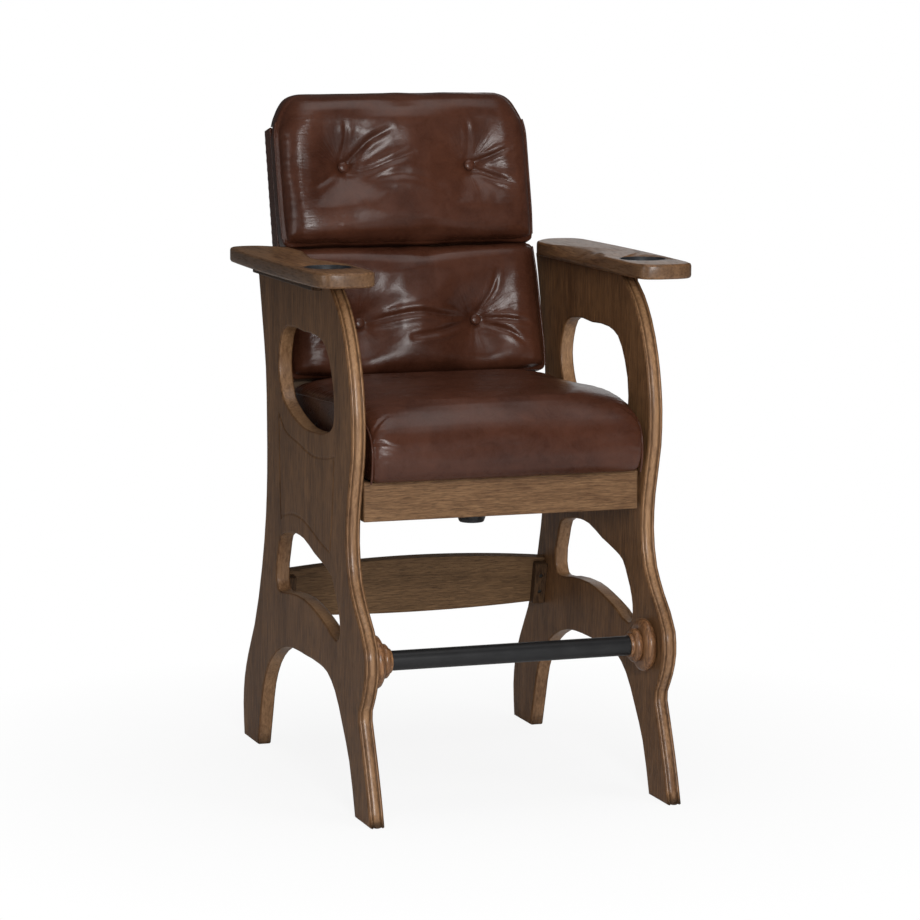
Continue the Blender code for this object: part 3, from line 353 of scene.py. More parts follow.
class Shader(Nodes):
    """A material on object coordinates, in metres."""

    def __init__(self, name):
        self.material = bpy.data.materials.new(name)
        super().__init__(self.material)
        self.surface = self.tree.nodes["Principled BSDF"]
        self.place = self.node("ShaderNodeTexCoord", output="Object")

    def finish(self, **values):
        for key, value in values.items():
            self.feed(self.surface.inputs[key.replace("_", " ")], value)
        return self.material

    def blend(self, share, low, high):
        return self.node("ShaderNodeMix", {"data_type": "RGBA"}, {0: share, 6: low, 7: high}, output=2)

    def stretched(self, scale):
        return self.node("ShaderNodeMapping", {}, {"Vector": self.place, "Scale": scale})

    def noise(self, place, scale, detail=3, roughness=0.55, distortion=0):
        values = {"Vector": place, "Scale": scale, "Detail": detail, "Roughness": roughness}
        return self.node("ShaderNodeTexNoise", {}, {**values, "Distortion": distortion})

    def cells(self, place, scale):
        setting = {"feature": "DISTANCE_TO_EDGE"}
        return self.node("ShaderNodeTexVoronoi", setting, {"Vector": place, "Scale": scale})

    def part(self, vector, axis):
        return self.node("ShaderNodeSeparateXYZ", {}, (vector,), output=axis)

    def joined(self, x, y, z):
        return self.node("ShaderNodeCombineXYZ", {}, (x, y, z))

    def normal(self, axis):
        return self.part(self.node("ShaderNodeNewGeometry", output="Normal"), axis)

    def bump(self, height, distance, strength=1.0, normal=None):
        values = {"Height": height, "Distance": distance, "Strength": strength}
        if normal:
            values["Normal"] = normal
        return self.node("ShaderNodeBump", {}, values)


def finishes():
    return bpy.context.scene.stool_finishes


def shapes():
    return bpy.context.scene.stool_shapes


def shaded(colour, share):
    """The colour made darker, or lighter where share is over 1."""
    return tuple(c * share for c in colour[:3]) + (1,)


def wood(name, along, tones, edges=None, face_axis=0, lines=None, coat=0.0, fine=1.0):
    """Open-grain stained wood with its grain along an axis.

    tones are its dark and light, and edges those of faces turned off face_axis; where edges are given, faces
    a little tilted off face_axis are darkened as painted shade. lines is where the reed lines of the front
    edge are across it;
    the grooves along them are darkened as painted shade. coat is the gloss of the faces; fine makes the
    grain finer.
    """
    shader = Shader(name)
    dark, light = (tuple(colour) for colour in tones)
    deep = shaded(dark, DEEP_WOOD)

    def grain(marks, finer=1.0, **settings):
        stretch, scale = marks
        place = [1, 1, 1]
        place[along] = stretch
        return shader.noise(shader.stretched(place), scale * finer, **settings)

    figure = grain(FIGURE, detail=4, roughness=0.6, distortion=0.6)
    streak = grain(STREAK, fine, detail=4, roughness=0.65)
    strokes = grain(STROKES, fine, detail=2, roughness=0.6).span(0.50, 0.68)
    pores = grain(PORES, detail=2).span(0.55, 0.72)
    colour = shader.blend((figure * 0.55 + streak * 0.95 - 0.25).span(0.30, 0.72), dark, light)
    colour = shader.blend(strokes * 0.52, colour, deep)
    gloss = coat
    if edges:
        facing = abs(shader.normal(face_axis))
        turned_off = (1 - facing).span(0.45, 0.85)
        # Painted shade: faces a little tilted off the face, such as the walls of the routed line and the
        # rounded arrises, are darkened
        tilted_painted_shade = (1 - facing).span(0.04, 0.22) * (1 - turned_off)
        edge_dark, edge_light = (tuple(colour) for colour in edges)
        edge = shader.blend((figure * 0.7 + streak * 0.6 - 0.15).span(0.30, 0.75), edge_dark, edge_light)
        edge = shader.blend(strokes * 0.25, edge, deep)
        colour = shader.blend(turned_off, shader.blend(tilted_painted_shade * 0.22, colour, deep), edge)
        gloss = turned_off * (EDGE_COAT - coat) + coat
    if lines:
        middle, away = lines
        across = abs(shader.part(shader.place, 0))
        front = (-0.2 - shader.normal(1)).span(0, 0.3) * (-0.10 - shader.part(shader.place, 1)).span(0, 0.02)
        # Painted shade: thin dark lines along the grooves between the reeds of the front edge
        groove_painted_shade = (1 - abs(abs(across - middle) - away).span(0.0002, 0.0020)) * front
        colour = shader.blend(groove_painted_shade * (streak * 0.7 + 0.15), colour, deep)
    colour = shader.blend(pores * 0.25, colour, deep)
    normal = shader.bump(streak * 0.4 - strokes * 0.7 - pores * 0.4, 0.00040, strength=0.6)
    values = {"Base_Color": colour, "Roughness": 0.45 + streak * 0.16, "Normal": normal}
    if gloss:
        values["Coat_Weight"] = gloss * (1 - strokes * 0.6)
    return shader.finish(**values, Specular_IOR_Level=WOOD_SPECULAR, Coat_Roughness=COAT_ROUGHNESS)


def gathers(shader, button, half):
    """Heights of the fine pleats of a back pad: out from its buttons, and in from its side seams."""
    shift = tuple(-np.array(BACK_ORIGIN) @ BACK_TURN)
    values = {"Vector": shader.place, "Location": shift, "Rotation": (RECLINE, 0, 0)}
    local = shader.node("ShaderNodeMapping", {}, values)
    side, rise = abs(shader.part(local, 0)), shader.part(local, 2)
    across, up = side - button[0], rise - button[1]
    away = shader.part(local, 0).math("SQRT", across * across + up * up)
    turned = shader.joined(across / away * 7, up / away * 7, away * 16)
    near = away.span(0.016, 0.032) * (1 - away.span(0.050, 0.088)) * (up.span(-0.03, 0.03) * 0.7 + 0.3)
    seam = half - side
    rows = shader.noise(shader.joined(side * 14, 0, rise * 130), 1, detail=3, roughness=0.6, distortion=1.1)
    beside = seam.span(0.022, 0.042) * (1 - seam.span(0.066, 0.088))
    return shader.noise(turned, 1, detail=3, roughness=0.6) * near * 0.7, rows * beside * 0.4


def leather(name, tones, tufted=None):
    """Glossy, finely grained leather with soft creases and a little wear."""
    shader = Shader(name)
    dark, light = (tuple(colour) for colour in tones)
    cloud = shader.noise(shader.place, CLOUDS, detail=4, roughness=0.55)
    drift = shader.noise(shader.place, DRIFTS, detail=4, roughness=0.6, distortion=0.8)
    wear = shader.noise(shader.place, WEAR_LINES, detail=3, roughness=0.55, distortion=1.2)
    creases = 1 - abs(wear - 0.5).span(0, 0.03)
    grain = shader.cells(shader.place, GRAIN_CELLS).span(0, 0.32)
    pebble = shader.noise(shader.place, PEBBLES, detail=2)
    colour = shader.blend((cloud * 0.8 + drift * 0.35 - 0.08).span(0.32, 0.74), dark, light)
    colour = shader.blend(creases * 0.12 + (1 - grain) * 0.16, colour, shaded(dark, DEEP_LEATHER))
    rough = 0.18 + drift * 0.10 + cloud * 0.06 + (1 - grain) * 0.05
    normal = shader.bump(grain * 0.6 + pebble * 0.6, 0.00012, strength=0.5)
    normal = shader.bump(drift * 0.5 - creases * 0.12, 0.0007, strength=0.4, normal=normal)
    if tufted:
        out, rows = gathers(shader, *tufted)
        normal = shader.bump(out + rows * 0.8, 0.0028, strength=0.8, normal=normal)
    return shader.finish(
        Base_Color=colour, Roughness=rough, Normal=normal, Specular_IOR_Level=LEATHER_SPECULAR
    )


def coated_metal(name, colour, roughness):
    shader = Shader(name)
    speckle = shader.noise(shader.place, 1400, detail=2)
    haze = shader.noise(shader.place, 30, detail=3)
    mottled = shader.blend(haze, shaded(colour, 0.8), shaded(colour, 1.3))
    normal = shader.bump(speckle, 0.00006, strength=0.5)
    return shader.finish(Base_Color=mottled, Roughness=roughness + haze * 0.1, Metallic=0.55, Normal=normal)


def moulded_plastic(name, colour, roughness):
    shader = Shader(name)
    speckle = shader.noise(shader.place, 1100, detail=3)
    dust = shader.noise(shader.place, 45, detail=4).span(0.4, 0.8)
    dusty = shader.blend(dust, tuple(colour), shaded(colour, 1.6))
    normal = shader.bump(speckle, 0.0001, strength=0.6)
    return shader.finish(Base_Color=dusty, Roughness=roughness + dust * 0.15, Normal=normal)


def dark_steel(name, dark, light):
    shader = Shader(name)
    turned_lines = shader.noise(shader.stretched((1, 1, 12)), 260, detail=3)
    stain = shader.noise(shader.place, 60, detail=4)
    stained = shader.blend(stain, tuple(dark), tuple(light))
    normal = shader.bump(turned_lines, 0.00008, strength=0.4)
    return shader.finish(Base_Color=stained, Roughness=0.34 + stain * 0.25, Metallic=0.9, Normal=normal)


def made_once(make):
    """Keeps one material for every piece that shares it."""
    kept = {}

    def get():
        if "material" not in kept:
            kept["material"] = make()
        return kept["material"]

    return get


@made_once
def panel_wood():
    f = finishes()
    low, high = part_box("side_panel_right")
    # Where the reed lines sit across the panel; wood() darkens their grooves with painted shade
    lines = ((low[0] + high[0]) / 2, REED_LINE)
    return wood("panel_wood", 2, (f.walnut_dark, f.walnut_light), (f.edge_dark, f.edge_light), lines=lines)


@made_once
def arm_wood():
    f = finishes()
    # The arms' edges take tones darkened as painted shade
    edges = (f.arm_edge_painted_shade_dark, f.arm_edge_painted_shade_light)
    return wood("arm_wood", 1, (f.walnut_dark, f.walnut_light), edges, face_axis=2, coat=0.42)


@made_once
def rail_wood():
    f = finishes()
    return wood("rail_wood", 0, (f.rail_dark, f.rail_light), fine=FINE_GRAIN)


@made_once
def stretcher_wood():
    f = finishes()
    return wood("stretcher_wood", 0, (f.stretcher_dark, f.stretcher_light), fine=FINE_GRAIN)


@made_once
def ring_wood():
    f = finishes()
    return wood("ring_wood", 2, (f.ring_dark, f.ring_light), coat=0.55)


# Stained wood darkened as painted shade, for the cleats
@made_once
def cleat_wood():
    f = finishes()
    return wood("cleat_wood", 2, (f.cleat_painted_shade_dark, f.cleat_painted_shade_light))


@made_once
def plain_wood():
    f = finishes()
    return wood("plain_wood", 0, (f.hidden_dark, f.hidden_light))


def stool_hide(name, tufted=None):
    f = finishes()
    return leather(name, (f.leather_dark, f.leather_light), tufted)


@made_once
def stool_leather():
    return stool_hide("stool_leather")


@made_once
def upper_leather():
    return stool_hide("upper_leather", (UPPER_BUTTON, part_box("upper_back_cushion")[1][0]))


@made_once
def lower_leather():
    return stool_hide("lower_leather", (LOWER_BUTTON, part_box("lower_back_cushion")[1][0]))


@made_once
def rail_metal():
    return coated_metal("rail_metal", finishes().rail_black, 0.36)


@made_once
def cup_plastic():
    return moulded_plastic("cup_plastic", finishes().plastic_black, 0.34)


@made_once
def fastener_steel():
    f = finishes()
    return dark_steel("fastener_steel", f.steel_dark, f.steel_light)


# Meshes


def finished(name, shape, material, replaces=(), body=BODY, sharp=None):
    """Makes an object from a bmesh or a mesh and hands it to the model."""
    mesh = mesh_of(name, shape) if isinstance(shape, bmesh.types.BMesh) else shape
    mesh.name = name
    mesh.materials.clear()
    mesh.materials.append(material)
    mesh.shade_smooth()
    if sharp:
        mesh.set_sharp_from_angle(angle=math.radians(sharp))
    piece = bpy.data.objects.new(name, mesh)
    bpy.context.scene.collection.objects.link(piece)
    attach(piece, body)
    if replaces:
        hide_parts(*replaces)
    return piece


def mesh_of(name, bm):
    """The bmesh as a mesh; the bmesh is freed."""
    mesh = bpy.data.meshes.new(name)
    bm.to_mesh(mesh)
    bm.free()
    return mesh


def scratch(name, mesh):
    piece = bpy.data.objects.new(name, mesh)
    bpy.context.scene.collection.objects.link(piece)
    return piece


def taken(piece):
    """The piece's mesh with its modifiers applied; the piece is removed."""
    mesh = bpy.data.meshes.new_from_object(piece.evaluated_get(bpy.context.evaluated_depsgraph_get()))
    old = piece.data
    bpy.data.objects.remove(piece, do_unlink=True)
    if isinstance(old, bpy.types.Mesh):
        bpy.data.meshes.remove(old)
    else:
        bpy.data.curves.remove(old)
    return mesh


def copy_of(node):
    """A merged copy of a CAD node."""
    bm = bmesh.new()
    bm.from_mesh(frame["nodes"][node].data)
    bmesh.ops.remove_doubles(bm, verts=bm.verts, dist=MERGE)
    return bm


def tube(path, radius, closed=False):
    """A round bead along a path, as a mesh."""
    curve = bpy.data.curves.new("bead", "CURVE")
    curve.dimensions = "3D"
    curve.bevel_depth = radius
    curve.bevel_resolution = 4
    curve.use_fill_caps = not closed
    spline = curve.splines.new("POLY")
    spline.points.add(len(path) - 1)
    for point, place in zip(spline.points, path):
        point.co = (*place, 1)
    spline.use_cyclic_u = closed
    return taken(scratch("bead", curve))


def curved(points, steps=8):
    """A smooth line through the points."""
    points = [Vector(p) for p in points]
    line = []
    for i in range(len(points) - 1):
        before, after = points[max(i - 1, 0)], points[min(i + 2, len(points) - 1)]
        start, end = points[i], points[i + 1]
        leave, arrive = (end - before) / 2, (after - start) / 2
        for k in range(steps):
            t = k / steps
            line.append(
                start * (2 * t**3 - 3 * t**2 + 1)
                + leave * (t**3 - 2 * t**2 + t)
                + end * (3 * t**2 - 2 * t**3)
                + arrive * (t**3 - t**2)
            )
    return line + [points[-1]]


def weighted(piece):
    piece.modifiers.new("even_faces", "WEIGHTED_NORMAL").keep_sharp = True


def positions(mesh):
    flat = np.empty(len(mesh.vertices) * 3, dtype=np.float32)
    mesh.vertices.foreach_get("co", flat)
    return flat.reshape(-1, 3).astype(float)


def normals(mesh):
    flat = np.empty(len(mesh.vertices) * 3, dtype=np.float32)
    mesh.vertex_normals.foreach_get("vector", flat)
    return flat.reshape(-1, 3).astype(float)


def place_points(mesh, points):
    mesh.vertices.foreach_set("co", points.astype(np.float32).ravel())
    mesh.update()


def to_back(points):
    """World points in the back's own frame, as x, depth from the rear face and rise."""
    local = (points - np.array(BACK_ORIGIN)) @ BACK_TURN
    return local * np.array((1, -1, 1))


def from_back(x, depth, rise):
    return Vector(BACK_TURN @ np.array((x, -depth, rise)) + np.array(BACK_ORIGIN))


# Padded pieces


def evened(mesh, size):
    """The mesh made again of even faces of about that size."""
    piece = scratch("pad", mesh)
    remesh = piece.modifiers.new("even", "REMESH")
    remesh.mode = "VOXEL"
    remesh.voxel_size = size
    relax = piece.modifiers.new("relax", "SMOOTH")
    relax.factor = 0.5
    relax.iterations = 4
    return taken(piece)


def soft_mesh(node, size):
    """An even mesh of a soft CAD node."""
    bm = copy_of(node)
    bmesh.ops.recalc_face_normals(bm, faces=bm.faces)
    return evened(mesh_of(node, bm), size)


def swollen(mesh, held, slack, rounds=30):
    """Fills the leather like a pad: held points, 1 where it is sewn or rests on something, stay."""
    before = positions(mesh)
    piece = scratch("pad", mesh)
    group = piece.vertex_groups.new(name="held")
    steps = np.round(held * 10).astype(int)
    for step in range(1, 11):
        rows = np.nonzero(steps == step)[0]
        if len(rows):
            group.add(rows.tolist(), step / 10, "REPLACE")
    cloth = piece.modifiers.new("filling", "CLOTH")
    settings = cloth.settings
    settings.vertex_group_mass = group.name
    settings.use_pressure = True
    settings.uniform_pressure_force = shapes().pressure
    settings.shrink_min = -slack
    settings.effector_weights.gravity = 0
    settings.tension_stiffness = 25
    settings.compression_stiffness = 25
    settings.bending_stiffness = 12
    cloth.collision_settings.use_collision = False
    cloth.point_cache.frame_start = 1
    cloth.point_cache.frame_end = shapes().fill_steps
    scene = bpy.context.scene
    for step in range(1, shapes().fill_steps + 1):
        scene.frame_set(step)
    swelled = taken(piece)
    scene.frame_set(1)
    shift = smoothed(swelled, positions(swelled) - before, held, rounds)
    length = np.linalg.norm(shift, axis=1, keepdims=True)
    place_points(swelled, before + shift * np.minimum(1, shapes().pad_swell / np.maximum(length, MERGE)))
    return swelled


def smoothed(mesh, shift, held, rounds):
    """The filling's movement without its small wrinkles; it stays nothing where the leather is held."""
    mean = neighbours(mesh)
    for _ in range(rounds):
        shift = (shift + mean(shift)) / 2 * (1 - np.clip(held, 0, 1))[:, None]
    return shift


def neighbours(mesh):
    """A function that gives each vertex the mean of its neighbours' values."""
    ends = np.empty(len(mesh.edges) * 2, dtype=np.int32)
    mesh.edges.foreach_get("vertices", ends)
    a, b = ends.reshape(-1, 2).T
    count = np.bincount(ends, minlength=len(mesh.vertices))[:, None]

    def mean(values):
        total = np.zeros_like(values)
        np.add.at(total, a, values[b])
        np.add.at(total, b, values[a])
        return total / count

    return mean


def rounded(mesh, share, rounds=45):
    """Rounds the shape where share is 1 and leaves it where share is 0."""
    mean, points = neighbours(mesh), positions(mesh)
    for _ in range(rounds):
        points += (mean(points) - points) * share[:, None] * 0.6
    place_points(mesh, points)


def divided(mesh):
    piece = scratch("pad", mesh)
    finer = piece.modifiers.new("finer", "SUBSURF")
    finer.levels = finer.render_levels = 1
    return taken(piece)


def nearest(points, path):
    """Distance of each point from a path, and how far along the path it is, from 0 to 1."""
    path = np.array(path, dtype=float)
    lengths = np.linalg.norm(np.diff(path, axis=0), axis=1)
    starts = np.concatenate(([0], np.cumsum(lengths)))
    best = np.full(len(points), np.inf)
    along = np.zeros(len(points))
    for i, length in enumerate(lengths):
        step = path[i + 1] - path[i]
        t = np.clip((points - path[i]) @ step / length**2, 0, 1)
        distance = np.linalg.norm(points - path[i] - t[:, None] * step, axis=1)
        closer = distance < best
        best[closer] = distance[closer]
        along[closer] = (starts[i] + t[closer] * length) / starts[-1]
    return best, along


def crease(points, path, width, depth):
    """Height of a crease with soft shoulders along a path, fading at its ends."""
    smooth_path = [tuple(p) for p in curved([(*p, 0)[:3] for p in path], 4)]
    flat = np.column_stack((points, np.zeros(len(points)))) if points.shape[1] == 2 else points
    distance, along = nearest(flat, smooth_path)
    fade = np.sin(np.pi * np.clip(along * 0.86 + 0.10, 0, 1)) ** 0.8
    valley = np.exp(-((distance / width) ** 2))
    shoulder = np.exp(-(((distance - 2.1 * width) / (1.3 * width)) ** 2))
    return depth * fade * (0.45 * shoulder - valley)


def puckers(points, centre, count, phase, reach, height):
    """Pleats that run out from a button."""
    off = points - np.array(centre)
    away = np.hypot(off[:, 0], off[:, 1])
    turn = np.arctan2(off[:, 1], off[:, 0])
    wave = np.cos(count * turn + phase + 1.6 * np.sin(2 * turn + phase) + 0.7 * np.sin(5 * turn - phase))
    strength = 0.6 + 0.4 * np.sin(3 * turn + 2 * phase)
    return height * wave * strength * (away / (away + 0.010)) * np.exp(-((away / reach) ** 2))


def edge_puckers(inside, along, height, reach=0.026, phase=0.0):
    """Small gathers beside a seam, at a distance inside it and a length along it."""
    wave = (
        np.sin(along * 310 + phase)
        + 0.8 * np.sin(along * 471 + 2 * phase + 1.1)
        + 0.6 * np.sin(along * 197 - phase + 0.4)
    )
    near = np.clip(inside / 0.005, 0, 1) * np.exp(-((np.maximum(inside, 0) / reach) ** 2))
    return height * wave * near


def covered(node, shape, hide=None):
    """The leather of a node, in the stool's plain leather unless another hide is given."""
    return finished(node + "_leather", shape, hide or stool_leather(), replaces=(node,))


def piping(name, path):
    return finished(name, tube(path, shapes().piping_radius), stool_leather())


def back_pad(name, button, piped, creases, phase):
    """A back cushion, filled, tufted at its two buttons and gathered along its side seams."""
    mesh = soft_mesh(name, shapes().pad_mesh)
    x, depth, rise = to_back(positions(mesh)).T
    half = np.abs(x[np.abs(depth - PIPING_DEPTH) < 0.006]).max()
    seam = np.hypot(np.abs(x) - half, depth - PIPING_DEPTH)
    held = np.clip(1.4 - seam / SEAM_WIDTH, 0, 1) * (rise < piped[1] + 0.01)
    held = np.maximum(held, depth < FRAME_DEPTH + 0.004)
    away = np.hypot(np.abs(x) - button[0], rise - button[1])
    held = np.maximum(held, np.clip(1.6 - away / BUTTON_GRIP, 0, 1) * (depth > PIPING_DEPTH))
    mesh = swollen(mesh, held, slack=PAD_SLACK_SHARE)
    x, depth, rise = to_back(positions(mesh)).T
    high = np.clip((rise - UPPER_PIPING[1] + CORNER_DROP) / CORNER_DROP, 0, 1)
    rounded(mesh, high * np.clip((np.abs(x) - half + CORNER_REACH) / (CORNER_REACH / 2), 0, 1))
    mesh = divided(mesh)
    points, outward = positions(mesh), normals(mesh)
    x, depth, rise = to_back(points).T
    flat = np.column_stack((x, rise))
    height = np.zeros(len(points))
    for path, width, deep in creases:
        height += crease(flat, path, width, deep)
    for side, _ in SIDES:
        centre = (side * button[0], button[1])
        height += puckers(flat, centre, PLEAT_COUNT, phase + side, PLEAT_REACH, PLEAT_HEIGHT)
        away = np.hypot(flat[:, 0] - centre[0], flat[:, 1] - centre[1])
        height -= BUTTON_SINK * np.exp(-((away / BUTTON_SEAT) ** 2))
        height -= TUFT_SINK * np.exp(-((away / TUFT_REACH) ** 2))
    inside = half - np.abs(x)
    foot = (rise - rise.min()) / FOOT_FALL_REACH
    height += edge_puckers(inside, rise, SEAM_GATHERS, phase=phase)
    height -= SIDE_FALL * (1 - np.clip(inside / SIDE_FALL_REACH, 0, 1)) ** 2
    height -= FOOT_FALL * (1 - np.clip(foot, 0, 1)) ** 2
    height *= np.clip((depth - PIPING_DEPTH - 0.001) / 0.006, 0, 1)
    boxing = np.clip((PIPING_DEPTH - 0.003 - depth) / 0.006, 0, 1) * (inside < 0.012) * (depth > 0.012)
    waves = np.sin(depth * 520 + 2.2 * np.sin(rise * 24 + phase)) + 0.5 * np.sin(depth * 260 + rise * 60)
    height += boxing * BOXING_WAVES * waves
    place_points(mesh, points + outward * height[:, None])
    hide = upper_leather() if name.startswith("upper") else lower_leather()
    pad = covered(name, mesh, hide)
    return pad


def side_line(pad, side, span):
    """The outermost points of a back pad along its side, from the foot to the top of its piping."""
    x, depth, rise = to_back(positions(pad.data)).T
    beside = np.abs(depth - PIPING_DEPTH) < 0.005
    path = []
    for k in range(33):
        level = span[0] + (span[1] - span[0]) * k / 32
        near = (np.abs(rise - level) < 0.005) & beside
        if near.any():
            path.append((side * ((side * x[near]).max() - PIPING_SINK), level))
    smooth_x = [p[0] for p in path]
    for _ in range(3):
        middle = [(a + 2 * b + c) / 4 for a, b, c in zip(smooth_x, smooth_x[1:], smooth_x[2:])]
        smooth_x = [smooth_x[0]] + middle + [smooth_x[-1]]
    return [from_back(x, PIPING_DEPTH, level) for x, (_, level) in zip(smooth_x, path)]


# Operators


class STOOL_OT_stage(bpy.types.Operator):
    """Lay the floor, hang the lamps and set up the camera"""

    bl_idname = "stool.stage"
    bl_label = "Floor, lamps and camera"

    def execute(self, context):
        stage = context.scene.stool_stage
        bm = bmesh.new()
        bmesh.ops.create_grid(bm, x_segments=1, y_segments=1, size=stage.floor_size)
        floor = scratch("floor", mesh_of("floor", bm))
        floor.data.materials.append(self.paper())
        context.scene.world = self.studio(stage)

        for name, power, *rest in LAMPS:
            self.lamp(name, getattr(stage, power), *rest)

        context.scene.view_settings.view_transform = "Standard"
        camera = bpy.data.cameras.new("camera")
        camera.sensor_width = 36
        camera.lens = LENS
        camera.shift_x, camera.shift_y = CAMERA_SHIFT
        turn, rise = CAMERA_TURN, CAMERA_RISE
        away = Vector((math.sin(turn) * math.cos(rise), -math.cos(turn) * math.cos(rise), math.sin(rise)))
        right = (-away).cross(Vector((0, 0, 1))).normalized()
        up = right.cross(-away)
        c, s = math.cos(CAMERA_ROLL), math.sin(CAMERA_ROLL)
        basis = Matrix((right * c + up * s, up * c - right * s, away)).transposed().to_4x4()
        eye = scratch("camera", camera)
        eye.matrix_world = Matrix.Translation(CAMERA_TARGET + away * CAMERA_DISTANCE) @ basis
        context.scene.camera = eye
        return {"FINISHED"}

    def paper(self):
        """White paper that fades to the background away from the stool."""
        material = bpy.data.materials.new("floor_paper")
        nodes = Nodes(material)
        nodes.tree.nodes.clear()
        place = nodes.node("ShaderNodeTexCoord", output="Object")
        away = nodes.node("ShaderNodeVectorMath", {"operation": "LENGTH"}, (place,), output="Value")
        seen = nodes.node("ShaderNodeLightPath", output="Is Camera Ray")
        share = seen * (PAPER_GLOW + away.span(*PAPER_FADE) * (1 - PAPER_GLOW))
        paper = nodes.node("ShaderNodeBsdfDiffuse", {}, {"Color": (0.80, 0.80, 0.80, 1)})
        glow = nodes.node("ShaderNodeEmission", {}, {"Color": (1, 1, 1, 1), "Strength": 1.0})
        mix = nodes.node("ShaderNodeMixShader", {}, (share, paper, glow))
        nodes.node("ShaderNodeOutputMaterial", {}, (mix,))
        return material

    def studio(self, stage):
        """Even white light, with its own level in reflections and plain white behind the stool."""
        world = bpy.data.worlds.new("studio")
        nodes = Nodes(world)
        nodes.tree.nodes.clear()
        light, gloss, white = (
            nodes.node("ShaderNodeBackground", {}, {"Color": (1, 1, 1, 1), "Strength": level})
            for level in (stage.sky, stage.sky_gloss, 1.0)
        )
        glossy = nodes.node("ShaderNodeLightPath", output="Is Glossy Ray")
        seen = nodes.node("ShaderNodeLightPath", output="Is Camera Ray")
        mix = nodes.node("ShaderNodeMixShader", {}, (glossy, light, gloss))
        mix = nodes.node("ShaderNodeMixShader", {}, (seen, mix, white))
        nodes.node("ShaderNodeOutputWorld", {}, (mix,))
        return world

    def lamp(self, name, power, size, place, diffuse, gloss):
        light = bpy.data.lights.new(name, "AREA")
        light.energy = power
        light.shape = "SQUARE"
        light.size = size
        lamp = scratch(name, light)
        lamp.visible_diffuse, lamp.visible_glossy = diffuse, gloss
        lamp.location = place
        lamp.rotation_euler = (LAMP_AIM - Vector(place)).to_track_quat("-Z", "Y").to_euler()


class STOOL_OT_side_panels(bpy.types.Operator):
    """Make the side panels with reeds on their front edges and a routed line on their outer faces"""

    bl_idname = "stool.side_panels"
    bl_label = "Side panels"

    def execute(self, context):
        for side, word in SIDES:
            node = "side_panel_" + word
            low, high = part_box(node)
            bm = copy_of(node)
            self.reed(bm, (low[0] + high[0]) / 2, high[0] - low[0])
            panel = scratch(node + "_blank", mesh_of(node, bm))
            face = high[0] if side > 0 else low[0]
            route = []
            for arc in ROUTED_ARCS:
                route += curved([(face + side * ROUTER_STANDOFF, y, z) for y, z in arc], 6)[:-1]
            cutter = scratch("router", tube(route, shapes().routed_radius, closed=True))
            cut = panel.modifiers.new("routed_line", "BOOLEAN")
            cut.operation = "DIFFERENCE"
            cut.solver = "EXACT"
            cut.use_self = True
            cut.object = cutter
            mesh = taken(panel)
            bpy.data.meshes.remove(cutter.data)
            weighted(finished(node + "_board", mesh, panel_wood(), replaces=(node,), sharp=48))
        return {"FINISHED"}

    def reed(self, bm, middle, thickness):
        """Divides the front edge across its width and sinks the lines between its reeds."""
        walls = [f for f in bm.faces if abs(f.normal.x) < 0.02 and self.reach(f) > thickness / 2]
        slanted = {
            e for f in walls for e in f.edges
            if abs(e.verts[0].co.x - e.verts[1].co.x) > thickness / 2
            and (e.verts[0].co - e.verts[1].co).yz.length > thickness / 40
        }
        bmesh.ops.dissolve_edges(bm, edges=list(slanted), use_verts=False)
        rungs = set()
        for edge in bm.edges:
            a, b = edge.verts
            if abs(a.co.x - b.co.x) < thickness / 2 or (a.co - b.co).yz.length > thickness / 40:
                continue
            forward = sum((f.normal for f in edge.link_faces), Vector()).normalized().y
            if forward < -0.2 and a.co.y < REED_START:
                rungs.add(edge)
        made = bmesh.ops.subdivide_edges(bm, edges=list(rungs), cuts=REED_CUTS, use_grid_fill=True)
        side_half = (thickness / 2 - REED_LINE) / 2
        bm.normal_update()
        moves = []
        for vert in {v for v in made["geom_inner"] if isinstance(v, bmesh.types.BMVert)}:
            off = abs(vert.co.x - middle)
            inside = off / REED_LINE if off < REED_LINE else max(REED_LINE + side_half - off, 0) / side_half
            drop = shapes().reed_depth * (1 - math.sqrt(max(1 - inside**2, 0)))
            moves.append((vert, vert.co - Vector((0, vert.normal.y, vert.normal.z)).normalized() * drop))
        for vert, place in moves:
            vert.co = place

    def reach(self, face):
        xs = [v.co.x for v in face.verts]
        return max(xs) - min(xs)


class STOOL_OT_boards(bpy.types.Operator):
    """Finish the arms, their cleats, the front rail and the rear stretcher"""

    bl_idname = "stool.boards"
    bl_label = "Arms, rail and stretcher"

    def execute(self, context):
        for name, node in frame["nodes"].items():
            if name in ("arm_left", "arm_right"):
                board, paint = copy_of(name), arm_wood()
                weighted(finished(name + "_board", board, paint, replaces=(name,), sharp=38))
            elif "cleat" in name and "screw" not in name:
                # The cleats take stained wood darkened as painted shade
                self.dress(node, cleat_wood())
            elif name == "front_rail":
                self.dress(node, rail_wood())
            elif name == "rear_stretcher":
                self.dress(node, stretcher_wood())
        return {"FINISHED"}

    def dress(self, node, material):
        coat(node, material)
        weld = node.modifiers.new("joined", "WELD")
        weld.merge_threshold = MERGE
        weighted(node)


def coat(node, material):
    for slot in node.material_slots:
        slot.material = material


